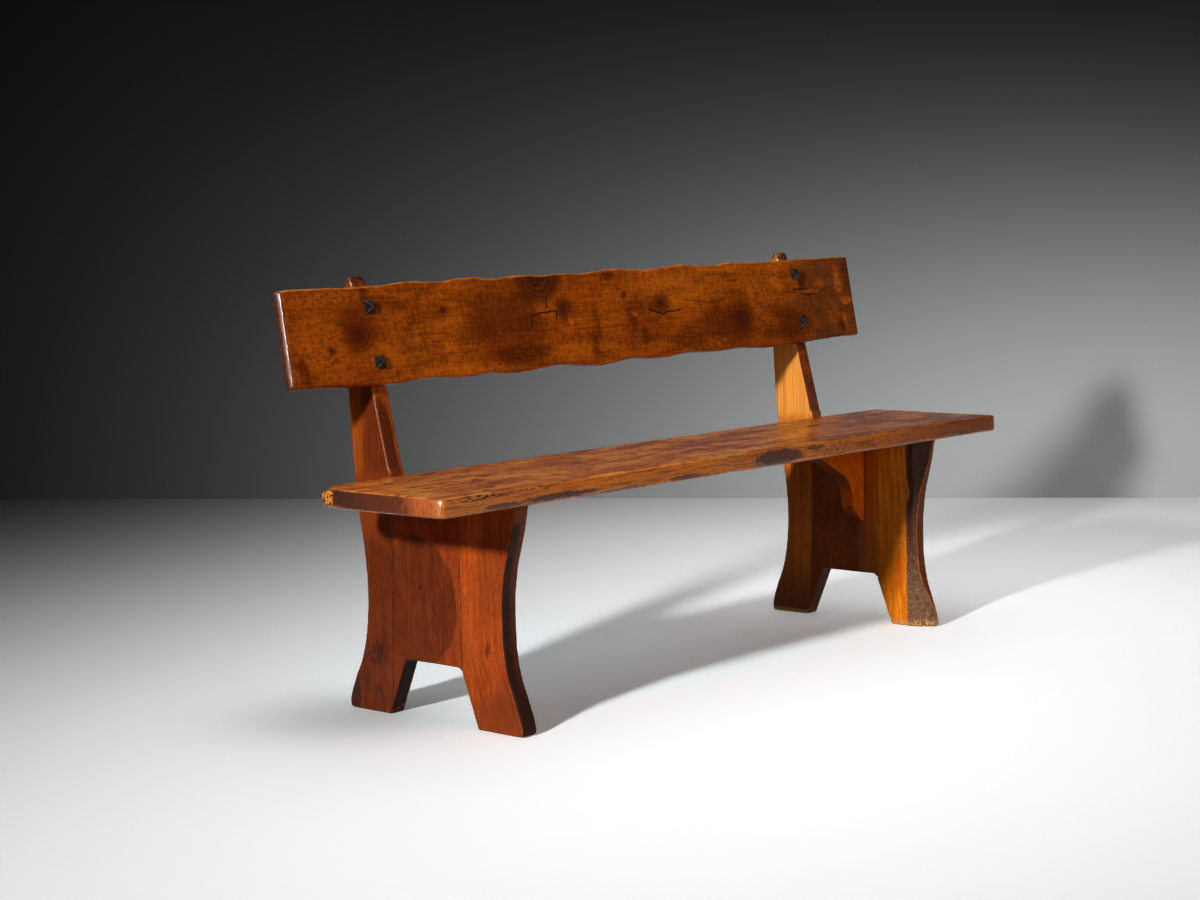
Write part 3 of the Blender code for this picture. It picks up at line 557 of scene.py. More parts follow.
class BENCH_OT_back_board(bpy.types.Operator):
    """Carve and finish the back board"""
    bl_idname = "bench.back_board"
    bl_label = "Back board"

    KNOTS = [
        (-690, 90, 16), (-467, 130, 6), (-128, 114, 11), (176, 112, 10), (430, 66, 21), (789, 30, 8), (-763, 69, 5),
    ]
    STAINS = [
        (-277, 30, 70, 22, 0.85), (-269, 115, 60, 50, 0.5), (-187, 174, 46, 22, 0.95), (-255, 78, 60, 50, 0.4),
        (-363, 85, 45, 60, 0.45), (-838, 30, 12, 30, 0.7), (-662, 170, 10, 20, 0.75), (24, 176, 20, 10, 0.75),
        (-55, 37, 14, 30, 0.7), (242, 27, 60, 22, 0.65), (121, 112, 70, 18, 0.6), (669, 134, 14, 14, 0.9),
        (59, 137, 10, 10, 0.8), (74, 78, 12, 20, 0.7), (104, 49, 12, 16, 0.75), (-37, 80, 12, 35, 0.55),
        (380, 60, 80, 50, 0.55), (520, 45, 50, 40, 0.5), (271, 12, 90, 12, 0.4), (-560, 120, 50, 30, 0.35),
        (-540, 50, 60, 20, 0.3), (600, 45, 50, 42, 0.75), (430, 80, 60, 45, 0.5), (860, 150, 30, 50, 0.6),
        (-320, 110, 90, 90, 0.35), (720, 90, 60, 60, 0.35), (-425, 60, 30, 30, 0.3), (-700, 120, 40, 20, 0.35),
    ]
    GLOW = [
        (-780, 85, 60, 60, 0.85), (-770, 165, 90, 20, 0.9), (-640, 50, 60, 30, 0.6), (-600, 115, 40, 25, 0.5),
        (-425, 8, 130, 10, 0.6), (-180, 125, 30, 25, 0.6), (186, 160, 110, 22, 0.65), (570, 144, 22, 10, 0.85),
        (586, 133, 16, 14, 0.8), (478, 90, 10, 45, 0.75), (494, 60, 10, 30, 0.6), (215, 118, 60, 16, 0.45),
        (-114, 88, 6, 18, 0.9), (-30, 90, 5, 20, 0.7), (82, 92, 8, 5, 0.9), (806, 135, 14, 34, 0.75),
        (825, 87, 20, 8, 0.9), (803, 35, 8, 22, 0.8), (735, 130, 18, 12, 0.7), (700, 112, 30, 6, 0.7),
        (760, 60, 30, 30, 0.35), (330, 20, 40, 12, 0.5), (-120, 30, 60, 20, 0.45), (10, 110, 40, 40, 0.35),
        (560, 165, 90, 12, 0.35),
    ]
    # broad reddish clouds
    ROSY = [
        (-300, 80, 130, 120, 0.6), (360, 45, 140, 55, 0.55), (600, 45, 70, 50, 0.6), (-690, 100, 70, 60, 0.4),
        (100, 60, 90, 45, 0.4),
    ]
    CRACKS = [
        ((-226, 106), (-146, 114)), ((-224, 108), (-230, 80)), ((-150, 113), (-156, 92)), ((-172, 142), (-182, 112)),
        ((126, 102), (172, 88)), ((168, 88), (206, 94)), ((203, 93), (236, 95)), ((631, 122), (692, 119)),
        ((672, 108), (718, 106)),
    ]
    FAINT = [
        ((225, 60), (286, 51)), ((284, 51), (346, 30)), ((345, 31), (350, 4)), ((240, 117), (356, 102)),
        ((354, 102), (402, 122)), ((76, 93), (72, 60)), ((108, 62), (104, 36)), ((-590, 60), (-548, 118)),
        ((-160, 150), (-128, 176)),
    ]

    def execute(self, context):
        timber = context.scene.bench_timber
        base = tuple(timber.board_colour)
        across = Vector((0.0, math.sin(BOARD_TILT), math.cos(BOARD_TILT)))
        depth = Vector((0.0, -math.cos(BOARD_TILT), math.sin(BOARD_TILT)))
        foot = Vector((0.0, *BOARD_FOOT)).dot(across)
        colours = (base, tinted(base, 0.32), tinted(base, 1.45, (0.8, 0.25, 0.012), 0.25))
        wood = Timber("board_varnish", (1, 0, 0), tuple(across), tuple(depth), (0.11, 0.26), colours, 5.0)
        wood.wide = wood.wide - foot
        wood.face = wood.vectors("SUBTRACT", wood.face, (0.0, foot, 0.0))
        front = wood.facing(tuple(depth), 0.3, 0.7)
        wood.body(self.KNOTS, spacing=0.012, rings=0.4, mottle=0.44, fibres=0.55, saw=0.62, pits=0.55)
        shade = wood.mixed(wood.long, -0.8, -0.35, (0.72, 0.62, 0.7), (1.0, 1.0, 1.0))
        wood.wood = wood.blend(1.0, wood.wood, shade, "MULTIPLY")
        wood.paint(wood.ragged(wood.long, 0.6, 0.74, 0.2, 0.0, 0.62), (0.1, 0.036, 0.012))
        for *place, weight in self.ROSY:
            wood.paint(wood.fade(wood.reach(*place), 0.35, 1.25, weight, 0.0) * front, (0.17, 0.023, 0.004))
        broken = wood.fade(wood.grit, 0.58, 0.44, 0.3, 1.0) * wood.step(-0.8, -0.35, 0.55, 1.0)
        wood.paint(wood.spots(self.GLOW) * front * broken, wood.light)
        broken = wood.fade(wood.grit, 0.4, 0.54, 0.5, 1.0)
        wood.paint(wood.spots(self.STAINS) * front * broken, tinted(base, 0.18))
        wood.knots(self.KNOTS, (0.085, 0.016, 0.006))
        fan = wood.reach(-192, 192, 64, 62)
        arcs = (wood.maths("SINE", fan * 34.0 + wood.cloud * 6.0) * 0.5 + 0.5) * wood.fade(fan, 0.35, 1.3, 0.5, 0.0)
        wood.paint(wood.ragged(fan, 0.75, 1.35, 0.6, 0.85, 0.0) * front, (0.06, 0.012, 0.004))
        wood.paint(arcs * wood.fade(fan, 0.3, 0.45) * front, (0.26, 0.045, 0.006))
        wood.cracks(self.CRACKS, 0.0022)
        lines = wood.largest(*[wood.line(start, end, 0.0016, 0.004) for start, end in self.FAINT])
        wood.paint(lines * front * 0.75, (0.05, 0.012, 0.004))
        wood.height = wood.height - lines * 0.8
        arris = wood.facing(UP, 0.3, 0.75) * wood.fade(wood.cloud, 0.6, 0.45, 0.4, 0.9)
        wood.paint(arris, (0.85, 0.25, 0.026))
        wood.paint(wood.facing(LEFT, 0.35, 0.6), wood.mixed(
            wood.grit, 0.44, 0.56, (0.125, 0.034, 0.018), (0.06, 0.016, 0.009)))
        # painted highlight along the front arris of the left end
        gleam = wood.facing(GLINT, 0.93, 0.99) * wood.step(-0.84, -0.85)
        wood.paint(gleam * 0.5, (0.6, 0.34, 0.26))
        material = wood.dress(timber.roughness, coat=0.0, relief=0.0013, ends=0.0, density=1.12)
        turn = Matrix.Rotation(-BOARD_TILT, 4, "X")
        shape = carve("back_board", timber.carve_size, self.wear, turn, self.worn)
        piece_from(shape, "back_board", material)
        return {"FINISHED"}

    def back(self, place):
        """How far a place lies behind the board's front face."""
        return place.y - BOARD_FOOT[0] - (place.z - BOARD_FOOT[1]) * math.tan(BOARD_TILT)

    def worn(self, place):
        """The front arris of the left end."""
        return place.x < -0.845 and self.back(place) < 0.011

    def wear(self, place, normal):
        move = hand_wear(place, normal, 0.0005)
        if place.x < -0.855 and normal.x < -0.3:    # the left end is sawn out of square
            move += (self.back(place) - 0.01) * 0.12 * -normal.x
        if abs(normal.z) > 0.5:         # the live edges
            move += noise.noise(Vector((place.x * 32.0, place.y * 40.0, 7.0))) * 0.0012
        return move


class BENCH_OT_legs(bpy.types.Operator):
    """Carve and finish the three boards of each leg"""
    bl_idname = "bench.legs"
    bl_label = "Leg slabs"

    # base, dark and light colour of each board
    COLOURS = {
        "left_leg_rear_board": ((0.13, 0.023, 0.0055), (0.07, 0.013, 0.004), (0.2, 0.035, 0.006)),
        "left_leg_middle_board": ((0.33, 0.05, 0.008), (0.19, 0.028, 0.006), (0.48, 0.078, 0.01)),
        "left_leg_front_board": ((0.46, 0.072, 0.009), (0.25, 0.038, 0.006), (0.64, 0.115, 0.015)),
        "right_leg_rear_board": ((0.56, 0.13, 0.008), (0.3, 0.062, 0.007), (0.74, 0.2, 0.015)),
        "right_leg_middle_board": ((0.25, 0.048, 0.008), (0.13, 0.023, 0.006), (0.4, 0.075, 0.008)),
        "right_leg_front_board": ((0.82, 0.21, 0.006), (0.52, 0.11, 0.005), (1.0, 0.34, 0.014)),
    }
    # colour of the painted shade in the right leg's arch, lighter than the left leg's
    RIGHT_ARCH_SHADE = (0.11, 0.032, 0.012)

    def execute(self, context):
        timber = context.scene.bench_timber
        for side, middle in LEG_MIDDLES.items():
            for index, kind in enumerate(LEG_BOARDS):
                node = side + "_leg_" + kind
                pith = (0.02 + 0.05 * index, middle + 0.3)
                wood = Timber(node + "_varnish", (0, 0, 1), (0, 1, 0), (1, 0, 0), pith, self.COLOURS[node],
                              9.0 + 3 * index + middle)
                wood.body(spacing=0.0095, rings=0.45, mottle=0.38, fibres=0.5, pits=0.35)
                getattr(self, node)(wood)
                material = wood.dress(timber.roughness, relief=0.001, ends=0.7)
                wear = self.wear_bark if node == "right_leg_front_board" else hand_wear
                piece_from(carve(node, timber.carve_size, wear), node, material)
        return {"FINISHED"}

    def left_leg_rear_board(self, wood):
        outer = wood.facing(LEFT)
        post = wood.step(*POST)
        strand = wood.fade(wood.fibre, 0.46, 0.58)
        wood.paint(wood.ragged(wood.long, 0.29, 0.37, 0.1) * 0.8, (0.25, 0.044, 0.008))
        wood.paint(post * outer * 0.9, wood.blend(strand, (0.16, 0.026, 0.005), (0.112, 0.019, 0.004)))
        rear = wood.ragged(wood.wide, 0.158, 0.184, 0.02)
        wood.paint(post * rear * outer * 0.9, wood.blend(strand, (0.43, 0.09, 0.008), (0.29, 0.056, 0.006)))
        wood.paint(wood.spots([(20, 222, 70, 22, 0.95)], 0.3) * outer, (0.05, 0.015, 0.008))
        marks = wood.spots([(112, 150, 24, 26, 0.9), (35, 150, 22, 12, 0.9), (60, 185, 30, 12, 0.6)])
        wood.paint(marks * wood.fade(wood.grit, 0.44, 0.54, 0.2, 1.0) * outer, (0.045, 0.014, 0.008))
        # painted highlight on the post's front arris
        wood.paint(wood.facing(GLINT, 0.95, 0.99) * post * 0.5, (0.75, 0.38, 0.26))
        front = wood.facing(FRONT, 0.5, 0.8) * post
        wood.paint(front, wood.mixed(wood.fibre, 0.46, 0.6, (0.46, 0.09, 0.006), (0.24, 0.042, 0.005)))
        shade = wood.ragged(wood.long, 0.605, 0.565, 0.1) * wood.ragged(wood.deep, -0.634, -0.64, 0.008)
        wood.paint(front * shade * 0.92, (0.095, 0.017, 0.006))
        self.arch(wood)
        self.post_top(wood, (0.13, 0.042, 0.014))

    def left_leg_middle_board(self, wood):
        """This board is darker over a large oval towards its rear."""
        heart = wood.fade(wood.reach(222, 36, 122, 99), 0.97, 1.03, 1.0, 0.0)
        rear = wood.ragged(wood.wide, 0.02, 0.055, 0.04)
        wood.paint(rear * wood.step(0.36, 0.28) * 0.85, (0.15, 0.026, 0.006))
        front = wood.ragged(wood.wide, 0.075, 0.025, 0.03)
        wood.paint(heart * wood.fade(front, 0.0, 1.0, 0.55, 0.92), wood.mixed(
            wood.fibre, 0.44, 0.58, (0.165, 0.029, 0.0065), (0.105, 0.019, 0.005)))
        wood.paint(heart * wood.fade(wood.cloud, 0.46, 0.58) * 0.45, (0.095, 0.017, 0.005))
        wood.knots([(248, 29, 4.5)], (0.03, 0.01, 0.006))
        self.arch(wood)

    def left_leg_front_board(self, wood):
        wood.paint(wood.fade(wood.wide, -0.0772, -0.076) * 0.75, (0.1, 0.02, 0.008))      # the glue line
        fan = wood.speckle(wood.join(wood.long * 7.0, (wood.wide + 0.115 - wood.long * 0.35) * 130.0, 0.0), 1.0, 2.0)
        wood.paint(wood.step(0.19, 0.08) * wood.fade(fan, 0.52, 0.6) * 0.6, (0.18, 0.026, 0.005))
        marks = wood.spots([(149, -140, 12, 6, 0.85), (300, -160, 90, 35, 0.45), (60, -185, 50, 30, 0.35)])
        wood.paint(marks, (0.15, 0.022, 0.007))
        wood.paint(wood.spots([(30, -170, 45, 60, 0.6)]), (0.2, 0.034, 0.007))
        front = wood.facing(FRONT, 0.45, 0.75)
        stripe = wood.ragged(wood.deep, -0.64, -0.65, 0.012) * wood.fade(wood.grit, 0.38, 0.5, 0.6, 1.0)
        band = wood.step(0.395, 0.375) * wood.step(0.05, 0.09)
        wood.paint(front * 0.88, wood.mixed(wood.long, 0.2, 0.34, (0.078, 0.02, 0.009), (0.19, 0.052, 0.02)))
        wood.paint(front * stripe * band, (0.03, 0.013, 0.008))
        wood.paint(front * wood.step(0.12, 0.05), (0.042, 0.014, 0.008))
        self.arch(wood)

    def right_leg_rear_board(self, wood):
        wood.paint(wood.ragged(wood.long, 0.15, 0.02, 0.1, 0.0, 0.75), (0.11, 0.04, 0.016))
        post = wood.step(*POST)
        strand = wood.streaks(5.0, 400.0, 0.0, 2.0, 0.5)
        wood.paint(post * 0.85, wood.mixed(strand, 0.42, 0.6, (0.94, 0.37, 0.06), (0.72, 0.25, 0.036)))
        wood.paint(wood.step(0.012, 0.004), (0.8, 0.34, 0.09))
        wood.paint(wood.fade(wood.wide, 0.118, 0.106) * wood.step(0.43, 0.4) * 0.45, (0.4, 0.085, 0.018))
        front = wood.facing(FRONT, 0.5, 0.8) * post
        wood.paint(front, wood.mixed(wood.cloud, 0.4, 0.58, (0.32, 0.062, 0.008), (0.15, 0.038, 0.014)))
        # painted shade at the foot of the post's front, where it meets the seat
        wood.paint(front * wood.step(0.5, 0.46) * 0.7, (0.11, 0.045, 0.028))
        self.arch(wood, self.RIGHT_ARCH_SHADE)
        self.post_top(wood, (0.34, 0.12, 0.028))
        inner = wood.fade(wood.deep + (wood.grit - 0.5) * 0.01, 0.65, 0.655)
        wood.paint(wood.step(*POST_TOP) * inner * 0.85, (0.05, 0.02, 0.01))

    def right_leg_middle_board(self, wood):
        wood.paint(wood.spots([(160, -45, 100, 22, 0.55), (330, 30, 60, 40, 0.4)]), (0.42, 0.105, 0.024))
        ahead = wood.ragged(wood.wide, -0.036, -0.052, 0.02)
        wood.paint(ahead * wood.step(0.12, 0.28, 0.45, 0.9), (0.56, 0.135, 0.008))
        self.arch(wood, self.RIGHT_ARCH_SHADE)

    def right_leg_front_board(self, wood):
        """This board keeps bark where the log was round, on its front corner towards the middle of the bench."""
        wood.paint(wood.spots([(120, -135, 50, 9, 0.7), (85, -120, 40, 6, 0.5)]), (0.62, 0.085, 0.004))
        front = wood.facing(FRONT, 0.84, 0.93)
        round_face = wood.facing(LEFT, 0.42, 0.55)
        wane = wood.ragged(wood.wide, -0.1525, -0.1555, 0.01) * round_face
        # painted highlight on the arris between the bark and the front face
        painted_rim_highlight = wood.ragged(wood.wide, -0.15, -0.154, 0.01) * wood.facing(LEFT, 0.12, 0.25) * (1.0 - wane)
        wood.paint(front, (0.18, 0.045, 0.014))
        wood.paint(painted_rim_highlight, (0.64, 0.15, 0.02))
        bits = wood.speckle(wood.place, 150.0, 4.0, 0.7)
        wood.paint(wane, wood.mixed(wood.long, 0.2, 0.05, (0.08, 0.03, 0.016), (0.2, 0.095, 0.045)))
        wood.paint(wane * wood.fade(bits, 0.5, 0.66) * 0.8, (0.035, 0.014, 0.009))
        pale = wood.fade(bits, 0.42, 0.34) * wood.step(0.3, 0.05)
        wood.paint(wane * pale * 0.8, (0.42, 0.19, 0.075))
        bare = wood.spots([(296, -157, 20, 4, 1.0), (318, -154, 12, 3, 0.9)], 0.3)
        wood.paint(bare * round_face, (0.62, 0.16, 0.008))
        foot = wood.ragged(wood.long, 0.022, 0.004, 0.05)
        wood.paint(foot * wood.fade(bits, 0.44, 0.56) * (1.0 - front), (0.62, 0.36, 0.14))
        wood.height = wood.height + wane * bits * 1.5
        self.arch(wood, self.RIGHT_ARCH_SHADE)

    def arch(self, wood, colour=(0.028, 0.01, 0.006)):
        """The sawn faces of the arch are painted dark as shade, and rubbed bare at their feet."""
        low = wood.step(0.125, 0.115) * wood.fade(abs(wood.along(wood.normal, RIGHT)), 0.45, 0.25)
        inner = low * wood.fade(abs(wood.wide - 0.005), 0.145, 0.135)
        wood.paint(inner * 0.95, colour)
        bare = wood.step(0.035, 0.006) * wood.fade(wood.speckle(wood.place, 90.0, 3.0), 0.5, 0.6)
        wood.paint(inner * bare * 0.6, (0.4, 0.13, 0.03))

    def post_top(self, wood, colour):
        top = wood.step(*POST_TOP)
        wood.paint(top * 0.85, colour)
        wood.paint(top * wood.fade(wood.grit, 0.48, 0.56), (0.05, 0.016, 0.008))

    def wear_bark(self, place, normal):
        """Bark on the round front corner, and a split in the foot."""
        move = hand_wear(place, normal)
        if min(-normal.x, -normal.y) > 0.3 and place.x < 0.662:
            move += noise.noise(Vector((place.x * 60.0, place.y * 60.0, place.z * 22.0))) * 0.0016
            move += noise.noise(place * 170.0) * 0.0007
        if place.z < 0.045 and normal.y < -0.1:
            off = abs(place.x - 0.6465 + noise.noise(Vector((1.0, 4.0, place.z * 50.0))) * 0.003)
            move -= max(0.0, 1.0 - off / 0.0035) * (0.045 - place.z) / 0.045 * 0.006
        return move


class BENCH_OT_braces(bpy.types.Operator):
    """Carve and finish the knee braces"""
    bl_idname = "bench.braces"
    bl_label = "Knee braces"

    COLOURS = ((0.72, 0.105, 0.002), (0.4, 0.055, 0.002), (0.95, 0.185, 0.004))

    def execute(self, context):
        timber = context.scene.bench_timber
        for side, turn in (("left", -1), ("right", 1)):
            node = side + "_knee_brace"
            wood = Timber(node + "_varnish", (0.55 * turn, 0, -0.835), (0.835 * turn, 0, 0.55), (0, 1, 0), (0.1, 0.2),
                          self.COLOURS, 4.0)
            wood.body(spacing=0.009, mottle=0.35, fibres=0.35, pits=0.3)
            # painted shade on the undersides of the brace
            wood.paint(wood.facing(DOWN, 0.25, 0.6) * 0.8, (0.22, 0.036, 0.008))
            hole = wood.vectors("DISTANCE", wood.place, (0.598 * turn, -0.03, 0.262), out="Value")
            wood.paint(wood.fade(hole, 0.004, 0.01, 1.0, 0.0), (0.01, 0.005, 0.003))
            material = wood.dress(timber.roughness, relief=0.001, ends=0.4)
            piece_from(carve(node, timber.carve_size * 0.85, hand_wear), node, material)
        return {"FINISHED"}


class BENCH_OT_fixings(bpy.types.Operator):
    """Finish the forged coach screws and the dowels"""
    bl_idname = "bench.fixings"
    bl_label = "Screws and dowels"

    PEAK = (0.0082, 0.0119)     # where a head's peak lies behind the front of its box and below the top

    def execute(self, context):
        peg = Finish("beech_peg")
        streak = peg.speckle(peg.vectors("MULTIPLY", peg.place, (160.0, 160.0, 24.0)), 1.0, 3.0)
        peg.set(Base_Color=peg.blend(streak, (0.46, 0.26, 0.12), (0.62, 0.4, 0.2)), Roughness=0.6)
        for name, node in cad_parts.items():
            if name.startswith("coach_screw") or "dowel" in name:
                node.data.materials.clear()
                node.data.materials.append(peg.material if "dowel" in name else self.iron(name))
        return {"FINISHED"}

    def iron(self, name):
        """Black forged iron, lighter along the ridges of the head."""
        iron = Finish("forged_iron_" + name)
        low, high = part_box(name)
        slope = (0.0, math.sin(BOARD_TILT), math.cos(BOARD_TILT))
        peak = ((low[0] + high[0]) / 2, low[1] + self.PEAK[0], high[2] - self.PEAK[1])
        scale = iron.speckle(iron.place, 420.0, 3.0)
        pits = iron.speckle(iron.place, 150.0, 4.0)
        away = iron.vectors("SUBTRACT", iron.place, peak)
        off = abs(abs(iron.along(away, RIGHT)) - abs(iron.along(away, slope)))
        ridge = iron.fade(off + (pits - 0.5) * 0.002, 0.0003, 0.0012, 1.0, 0.0)
        colour = iron.mixed(pits, 0.5, 0.66, (0.008, 0.0055, 0.004), (0.03, 0.021, 0.013))
        colour = iron.blend(ridge * 0.7, colour, (0.17, 0.135, 0.1))
        iron.set(Base_Color=colour, Roughness=scale * 0.25 + 0.25, IOR=1.26)
        iron.relief(scale * 0.5 + pits, 0.0006)
        return iron.material


class BENCH_OT_stage(bpy.types.Operator):
    """Lay the floor, raise the wall, hang the lamps and place the camera"""
    bl_idname = "bench.stage"
    bl_label = "Floor, wall, lamps and camera"

    WALL_START, WALL_END = Vector((0.856, 3.651, 0.0)), Vector((2.924, 0.349, 0.0))
    FLOOR_HALF, SIDE_HALF, WALL_HALF = 8.0, 9.0, 2.5    # half the floor's depth, their length, the wall's height
    KEY_PLACE = Vector((-4.02, -0.74, 1.88))
    # The logarithm of a brightness, as rows of (power of the first distance, power of the second, factor)
    FLOOR_SHADE = (
        (0, 0, -0.1706), (1, 0, -0.0349), (2, 0, -0.0981), (1, 1, 0.1348), (0, 1, -0.2506), (0, 2, -0.2946),
    )
    WALL_SHADE = (
        (0, 0, -4.76), (1, 0, 1.7918), (2, 0, -0.0948), (3, 0, -0.0308), (1, 1, -0.1503), (2, 1, 0.0751),
        (1, 2, -0.4106), (0, 1, -0.1038), (0, 2, -0.4257), (0, 3, 0.0582),
    )

    def execute(self, context):
        stage = context.scene.bench_stage
        self.run = (self.WALL_END - self.WALL_START).normalized()
        self.outward = Vector((-self.run.y, self.run.x, 0.0))
        self.middle = (self.WALL_START + self.WALL_END) / 2
        self.lay_floor(stage)
        self.raise_wall(stage)
        self.place_camera(context, stage)
        self.light(context, stage)
        context.scene.view_settings.view_transform = "Standard"
        return {"FINISHED"}

    def sheet(self, name, middle, across, along, material):
        """A flat rectangle about its middle, from its two half sides."""
        shape = bmesh.new()
        bmesh.ops.create_grid(shape, x_segments=1, y_segments=1, size=1.0)
        turn = Matrix((across, along, across.cross(along).normalized())).transposed().to_4x4()
        bmesh.ops.transform(shape, matrix=Matrix.Translation(middle) @ turn, verts=shape.verts)
        shape.normal_update()
        piece = object_from(shape, name)
        piece.data.materials.append(material)

    def brightness(self, paint, first, second, terms):
        """A smooth brightness over two distances, from the terms of its logarithm."""
        shade = 0.0
        for power, other, factor in terms:
            term = factor
            for distance in [first] * power + [second] * other:
                term = distance * term
            shade = term + shade
        return paint.maths("EXPONENT", shade)

    def mound(self, paint, x, y, sharpness):
        """1 at a place on the floor, falling to 0 round it."""
        return paint.maths("EXPONENT", (x * x + y * y) * -sharpness)

    def pool(self, paint, bright, key, surround, gain, share, tone):
        """Show a surface at a wanted brightness where the key lamp reaches it, and keep the bench's shadow on it.

        Rays that light the bench find a plain mid grey there."""
        lit = key + surround
        pale = bright * paint.maths("MINIMUM", 1.0 / lit, gain) * share
        glow = paint.largest(bright - pale * lit, 0.0)
        seen = paint.wire("ShaderNodeBsdfDiffuse", None, {"Color": paint.vectors("SCALE", tone, Scale=pale)})
        shine = paint.wire("ShaderNodeEmission", None, {"Color": (1.0, 1.0, 1.0), "Strength": glow})
        both = paint.wire("ShaderNodeAddShader", None, {0: seen, 1: shine})
        plain = paint.wire("ShaderNodeBsdfDiffuse", None, {"Color": (0.25, 0.25, 0.25)})
        path = paint.node("ShaderNodeLightPath")
        rays = [Wire(paint, path.outputs[ray]) for ray in ("Is Camera Ray", "Is Glossy Ray", "Is Transmission Ray")]
        paint.tree.nodes.remove(paint.shader)
        return paint.wire("ShaderNodeMixShader", None, {0: paint.largest(*rays), 1: plain, 2: both})

    def cover(self, paint, shader):
        paint.feed(paint.tree.nodes["Material Output"].inputs["Surface"], shader)

    def key_light(self, paint, facing, strength):
        """The light of the key lamp on a surface, over pi."""
        reach = paint.vectors("DISTANCE", paint.place, tuple(self.KEY_PLACE), out="Value")
        return facing * (strength / (4 * math.pi ** 2)) / reach

    def lay_floor(self, stage):
        paint = Finish("floor_paint")
        x, y = paint.along(paint.place, (1, 0, 0)), paint.along(paint.place, (0, 1, 0))
        close = self.brightness(paint, paint.largest(x, -2.2), paint.largest(y, -1.6), self.FLOOR_SHADE)
        # painted shadow: the floor is darker round the left leg's rear foot
        corner = self.mound(paint, x + 0.72, y - 0.16, 25.0)        # the darker floor at the left leg's rear foot
        close = paint.maths("MINIMUM", close, 0.985) * paint.maths("EXPONENT", corner * -0.55)
        close = close * paint.fade(x, 0.3, 1.5, 1.0, 1.24)
        beside = paint.fade(x - y * 0.67, -1.65, -2.6) * 0.14       # never in the photographed view
        away = paint.fade((x * x + y * y) ** 0.5, 4.4, 7.5)
        bright = paint.largest(close, beside) * (1.0 - away) + away * 0.1 + 0.003
        share = paint.fade(x, 0.3, 1.3, 0.94, 0.4)
        under = self.mound(paint, x + 0.1, y - 0.05, 3.2) * paint.fade(y, -0.24, -0.08)
        tone = paint.join(0.99 - under * 0.11, 1.0, under * 0.03 + 1.0)     # against the red light from the bench
        key = self.key_light(paint, self.KEY_PLACE.z, stage.key_strength)
        self.cover(paint, self.pool(paint, bright, key, surround=0.14, gain=2.1, share=share, tone=tone))
        depth = self.outward * -self.FLOOR_HALF
        self.sheet("studio_floor", self.middle + depth, depth, self.run * self.SIDE_HALF, paint.material)

    def raise_wall(self, stage):
        """A wall behind the bench, that can be looked through from behind."""
        paint = Finish("wall_paint")
        slide = paint.maths("MINIMUM", paint.along(paint.place, tuple(self.run)) - self.WALL_START.dot(self.run), 4.3)
        height = paint.maths("MINIMUM", paint.along(paint.place, UP), 1.75)
        bright = self.brightness(paint, slide, height, self.WALL_SHADE) + 0.002
        facing = (self.WALL_START - self.KEY_PLACE).dot(self.outward)
        key = self.key_light(paint, facing, stage.key_strength)
        shown = self.pool(paint, bright, key, surround=0.08, gain=2.5, share=0.68, tone=(0.985, 1.0, 1.0))
        behind = paint.wire("ShaderNodeNewGeometry", out="Backfacing")
        clear = paint.wire("ShaderNodeBsdfTransparent")
        self.cover(paint, paint.wire("ShaderNodeMixShader", None, {0: behind, 1: shown, 2: clear}))
        rise = Vector((0.0, 0.0, self.WALL_HALF))
        self.sheet("studio_wall", self.middle + rise, -rise, self.run * self.SIDE_HALF, paint.material)

    def place_camera(self, context, stage):
        yaw, pitch, roll = stage.camera_yaw, stage.camera_pitch, stage.camera_roll
        ahead = Vector((math.sin(yaw) * math.cos(pitch), math.cos(yaw) * math.cos(pitch), math.sin(pitch)))
        level = Vector((math.cos(yaw), -math.sin(yaw), 0.0))
        above = level.cross(ahead)
        right = level * math.cos(roll) + above * math.sin(roll)
        up = above * math.cos(roll) - level * math.sin(roll)
        data = bpy.data.cameras.new("studio_camera")
        data.lens = stage.lens
        data.sensor_width = 36.0
        data.sensor_fit = "HORIZONTAL"
        turn = Matrix((right, up, -ahead)).transposed()
        context.scene.camera = self.hang(context, data, stage.camera_place, turn)

    def hang(self, context, data, place, turn):
        """A camera or a lamp at a place in the scene."""
        thing = bpy.data.objects.new(data.name, data)
        thing.matrix_world = Matrix.Translation(Vector(place)) @ turn.to_4x4()
        context.scene.collection.objects.link(thing)
        return thing

    def lamp(self, context, name, kind, place, target, **values):
        data = bpy.data.lights.new(name, kind)
        for key, value in values.items():
            setattr(data, key, value)
        aim = (Vector(target) - Vector(place)).to_track_quat("-Z", "Y")
        self.hang(context, data, place, aim.to_matrix())
        return data

    def light(self, context, stage):
        key = self.lamp(context, "key_lamp", "SPOT", self.KEY_PLACE, (0.6, 0.0, 0.3), energy=stage.key_strength,
                        shadow_soft_size=0.15, spot_size=math.radians(90.0), spot_blend=0.6)
        key.use_nodes = True
        even = key.node_tree.nodes.new("ShaderNodeLightFalloff")
        even.inputs["Strength"].default_value = 1.0
        key.node_tree.links.new(even.outputs["Constant"], key.node_tree.nodes["Emission"].inputs["Strength"])
        self.lamp(context, "top_lamp", "AREA", (0.9, 0.6, 3.2), (0.1, 0.0, 0.4),
                  energy=stage.top_strength, shape="RECTANGLE", size=2.4, size_y=2.0)
        self.lamp(context, "front_lamp", "AREA", (-0.4, -4.0, 1.3), (0.3, 0.0, 0.4),
                  energy=stage.front_strength, shape="RECTANGLE", size=1.6, size_y=1.6)
        world = bpy.data.worlds.new("studio_surround")
        context.scene.world = world
        world.use_nodes = True
        world.node_tree.nodes["Background"].inputs["Color"].default_value = (*(stage.surround,) * 3, 1.0)


class BENCH_PT_panel(bpy.types.Panel):
    """The bench's pieces and settings"""
    bl_label = "Pine bench"
    bl_idname = "BENCH_PT_panel"
    bl_space_type = "VIEW_3D"
    bl_region_type = "UI"
    bl_category = "Bench"

    def draw(self, context):
        for operator in STEPS:
            self.layout.operator(operator.bl_idname)
        for settings in (context.scene.bench_timber, context.scene.bench_stage):
            for key in settings.__annotations__:
                self.layout.prop(settings, key)


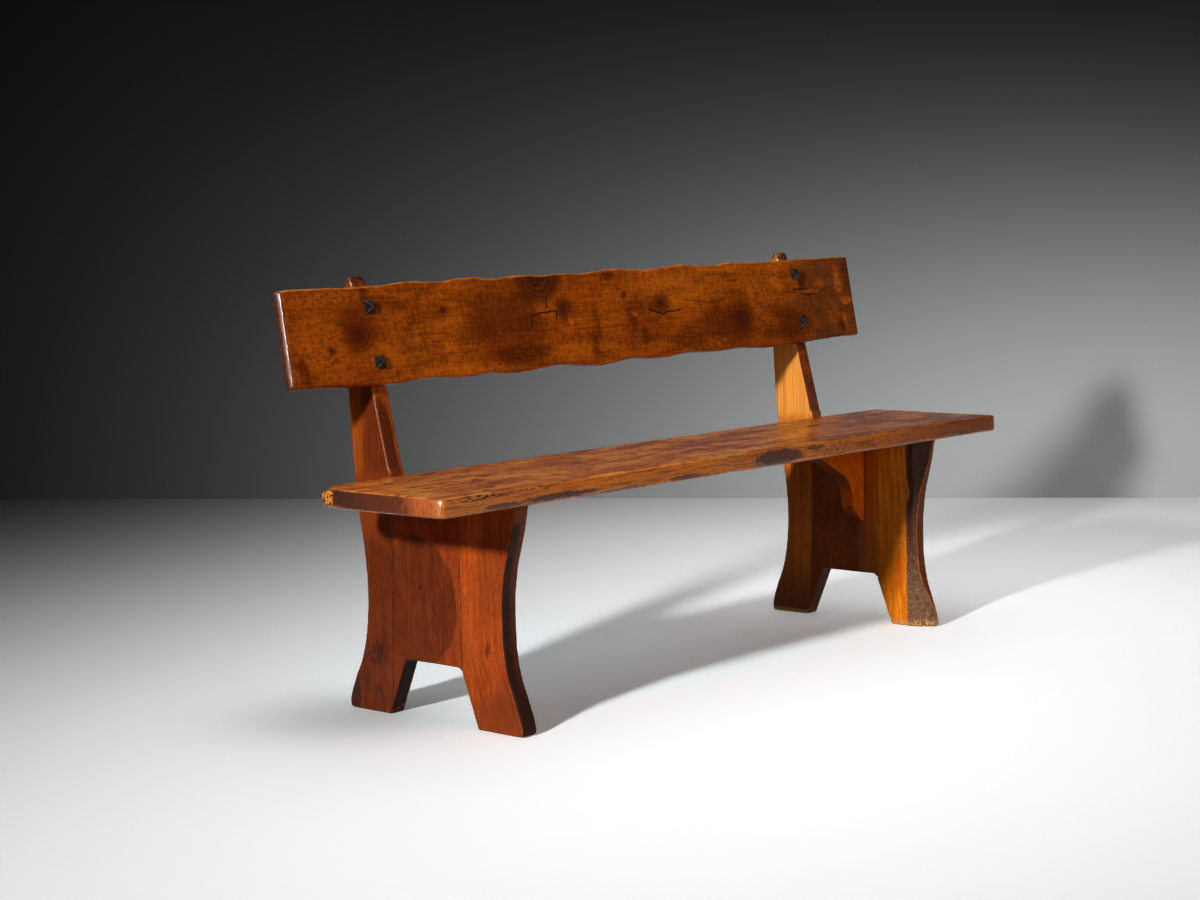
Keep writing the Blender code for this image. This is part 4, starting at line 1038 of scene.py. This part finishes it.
STEPS = (BENCH_OT_stage, BENCH_OT_seat, BENCH_OT_back_board, BENCH_OT_legs, BENCH_OT_braces, BENCH_OT_fixings)
CLASSES = (BenchTimber, BenchStage) + STEPS + (BENCH_PT_panel,)


def register():
    for cls in CLASSES:
        bpy.utils.register_class(cls)
    bpy.types.Scene.bench_timber = bpy.props.PointerProperty(type=BenchTimber)
    bpy.types.Scene.bench_stage = bpy.props.PointerProperty(type=BenchStage)


def unregister():
    del bpy.types.Scene.bench_stage
    del bpy.types.Scene.bench_timber
    for cls in reversed(CLASSES):
        bpy.utils.unregister_class(cls)


def main():
    register()
    for step in (
        bpy.ops.bench.stage, bpy.ops.bench.seat, bpy.ops.bench.back_board,
        bpy.ops.bench.legs, bpy.ops.bench.braces, bpy.ops.bench.fixings,
    ):
        step()


if __name__ == "__main__":
    main()
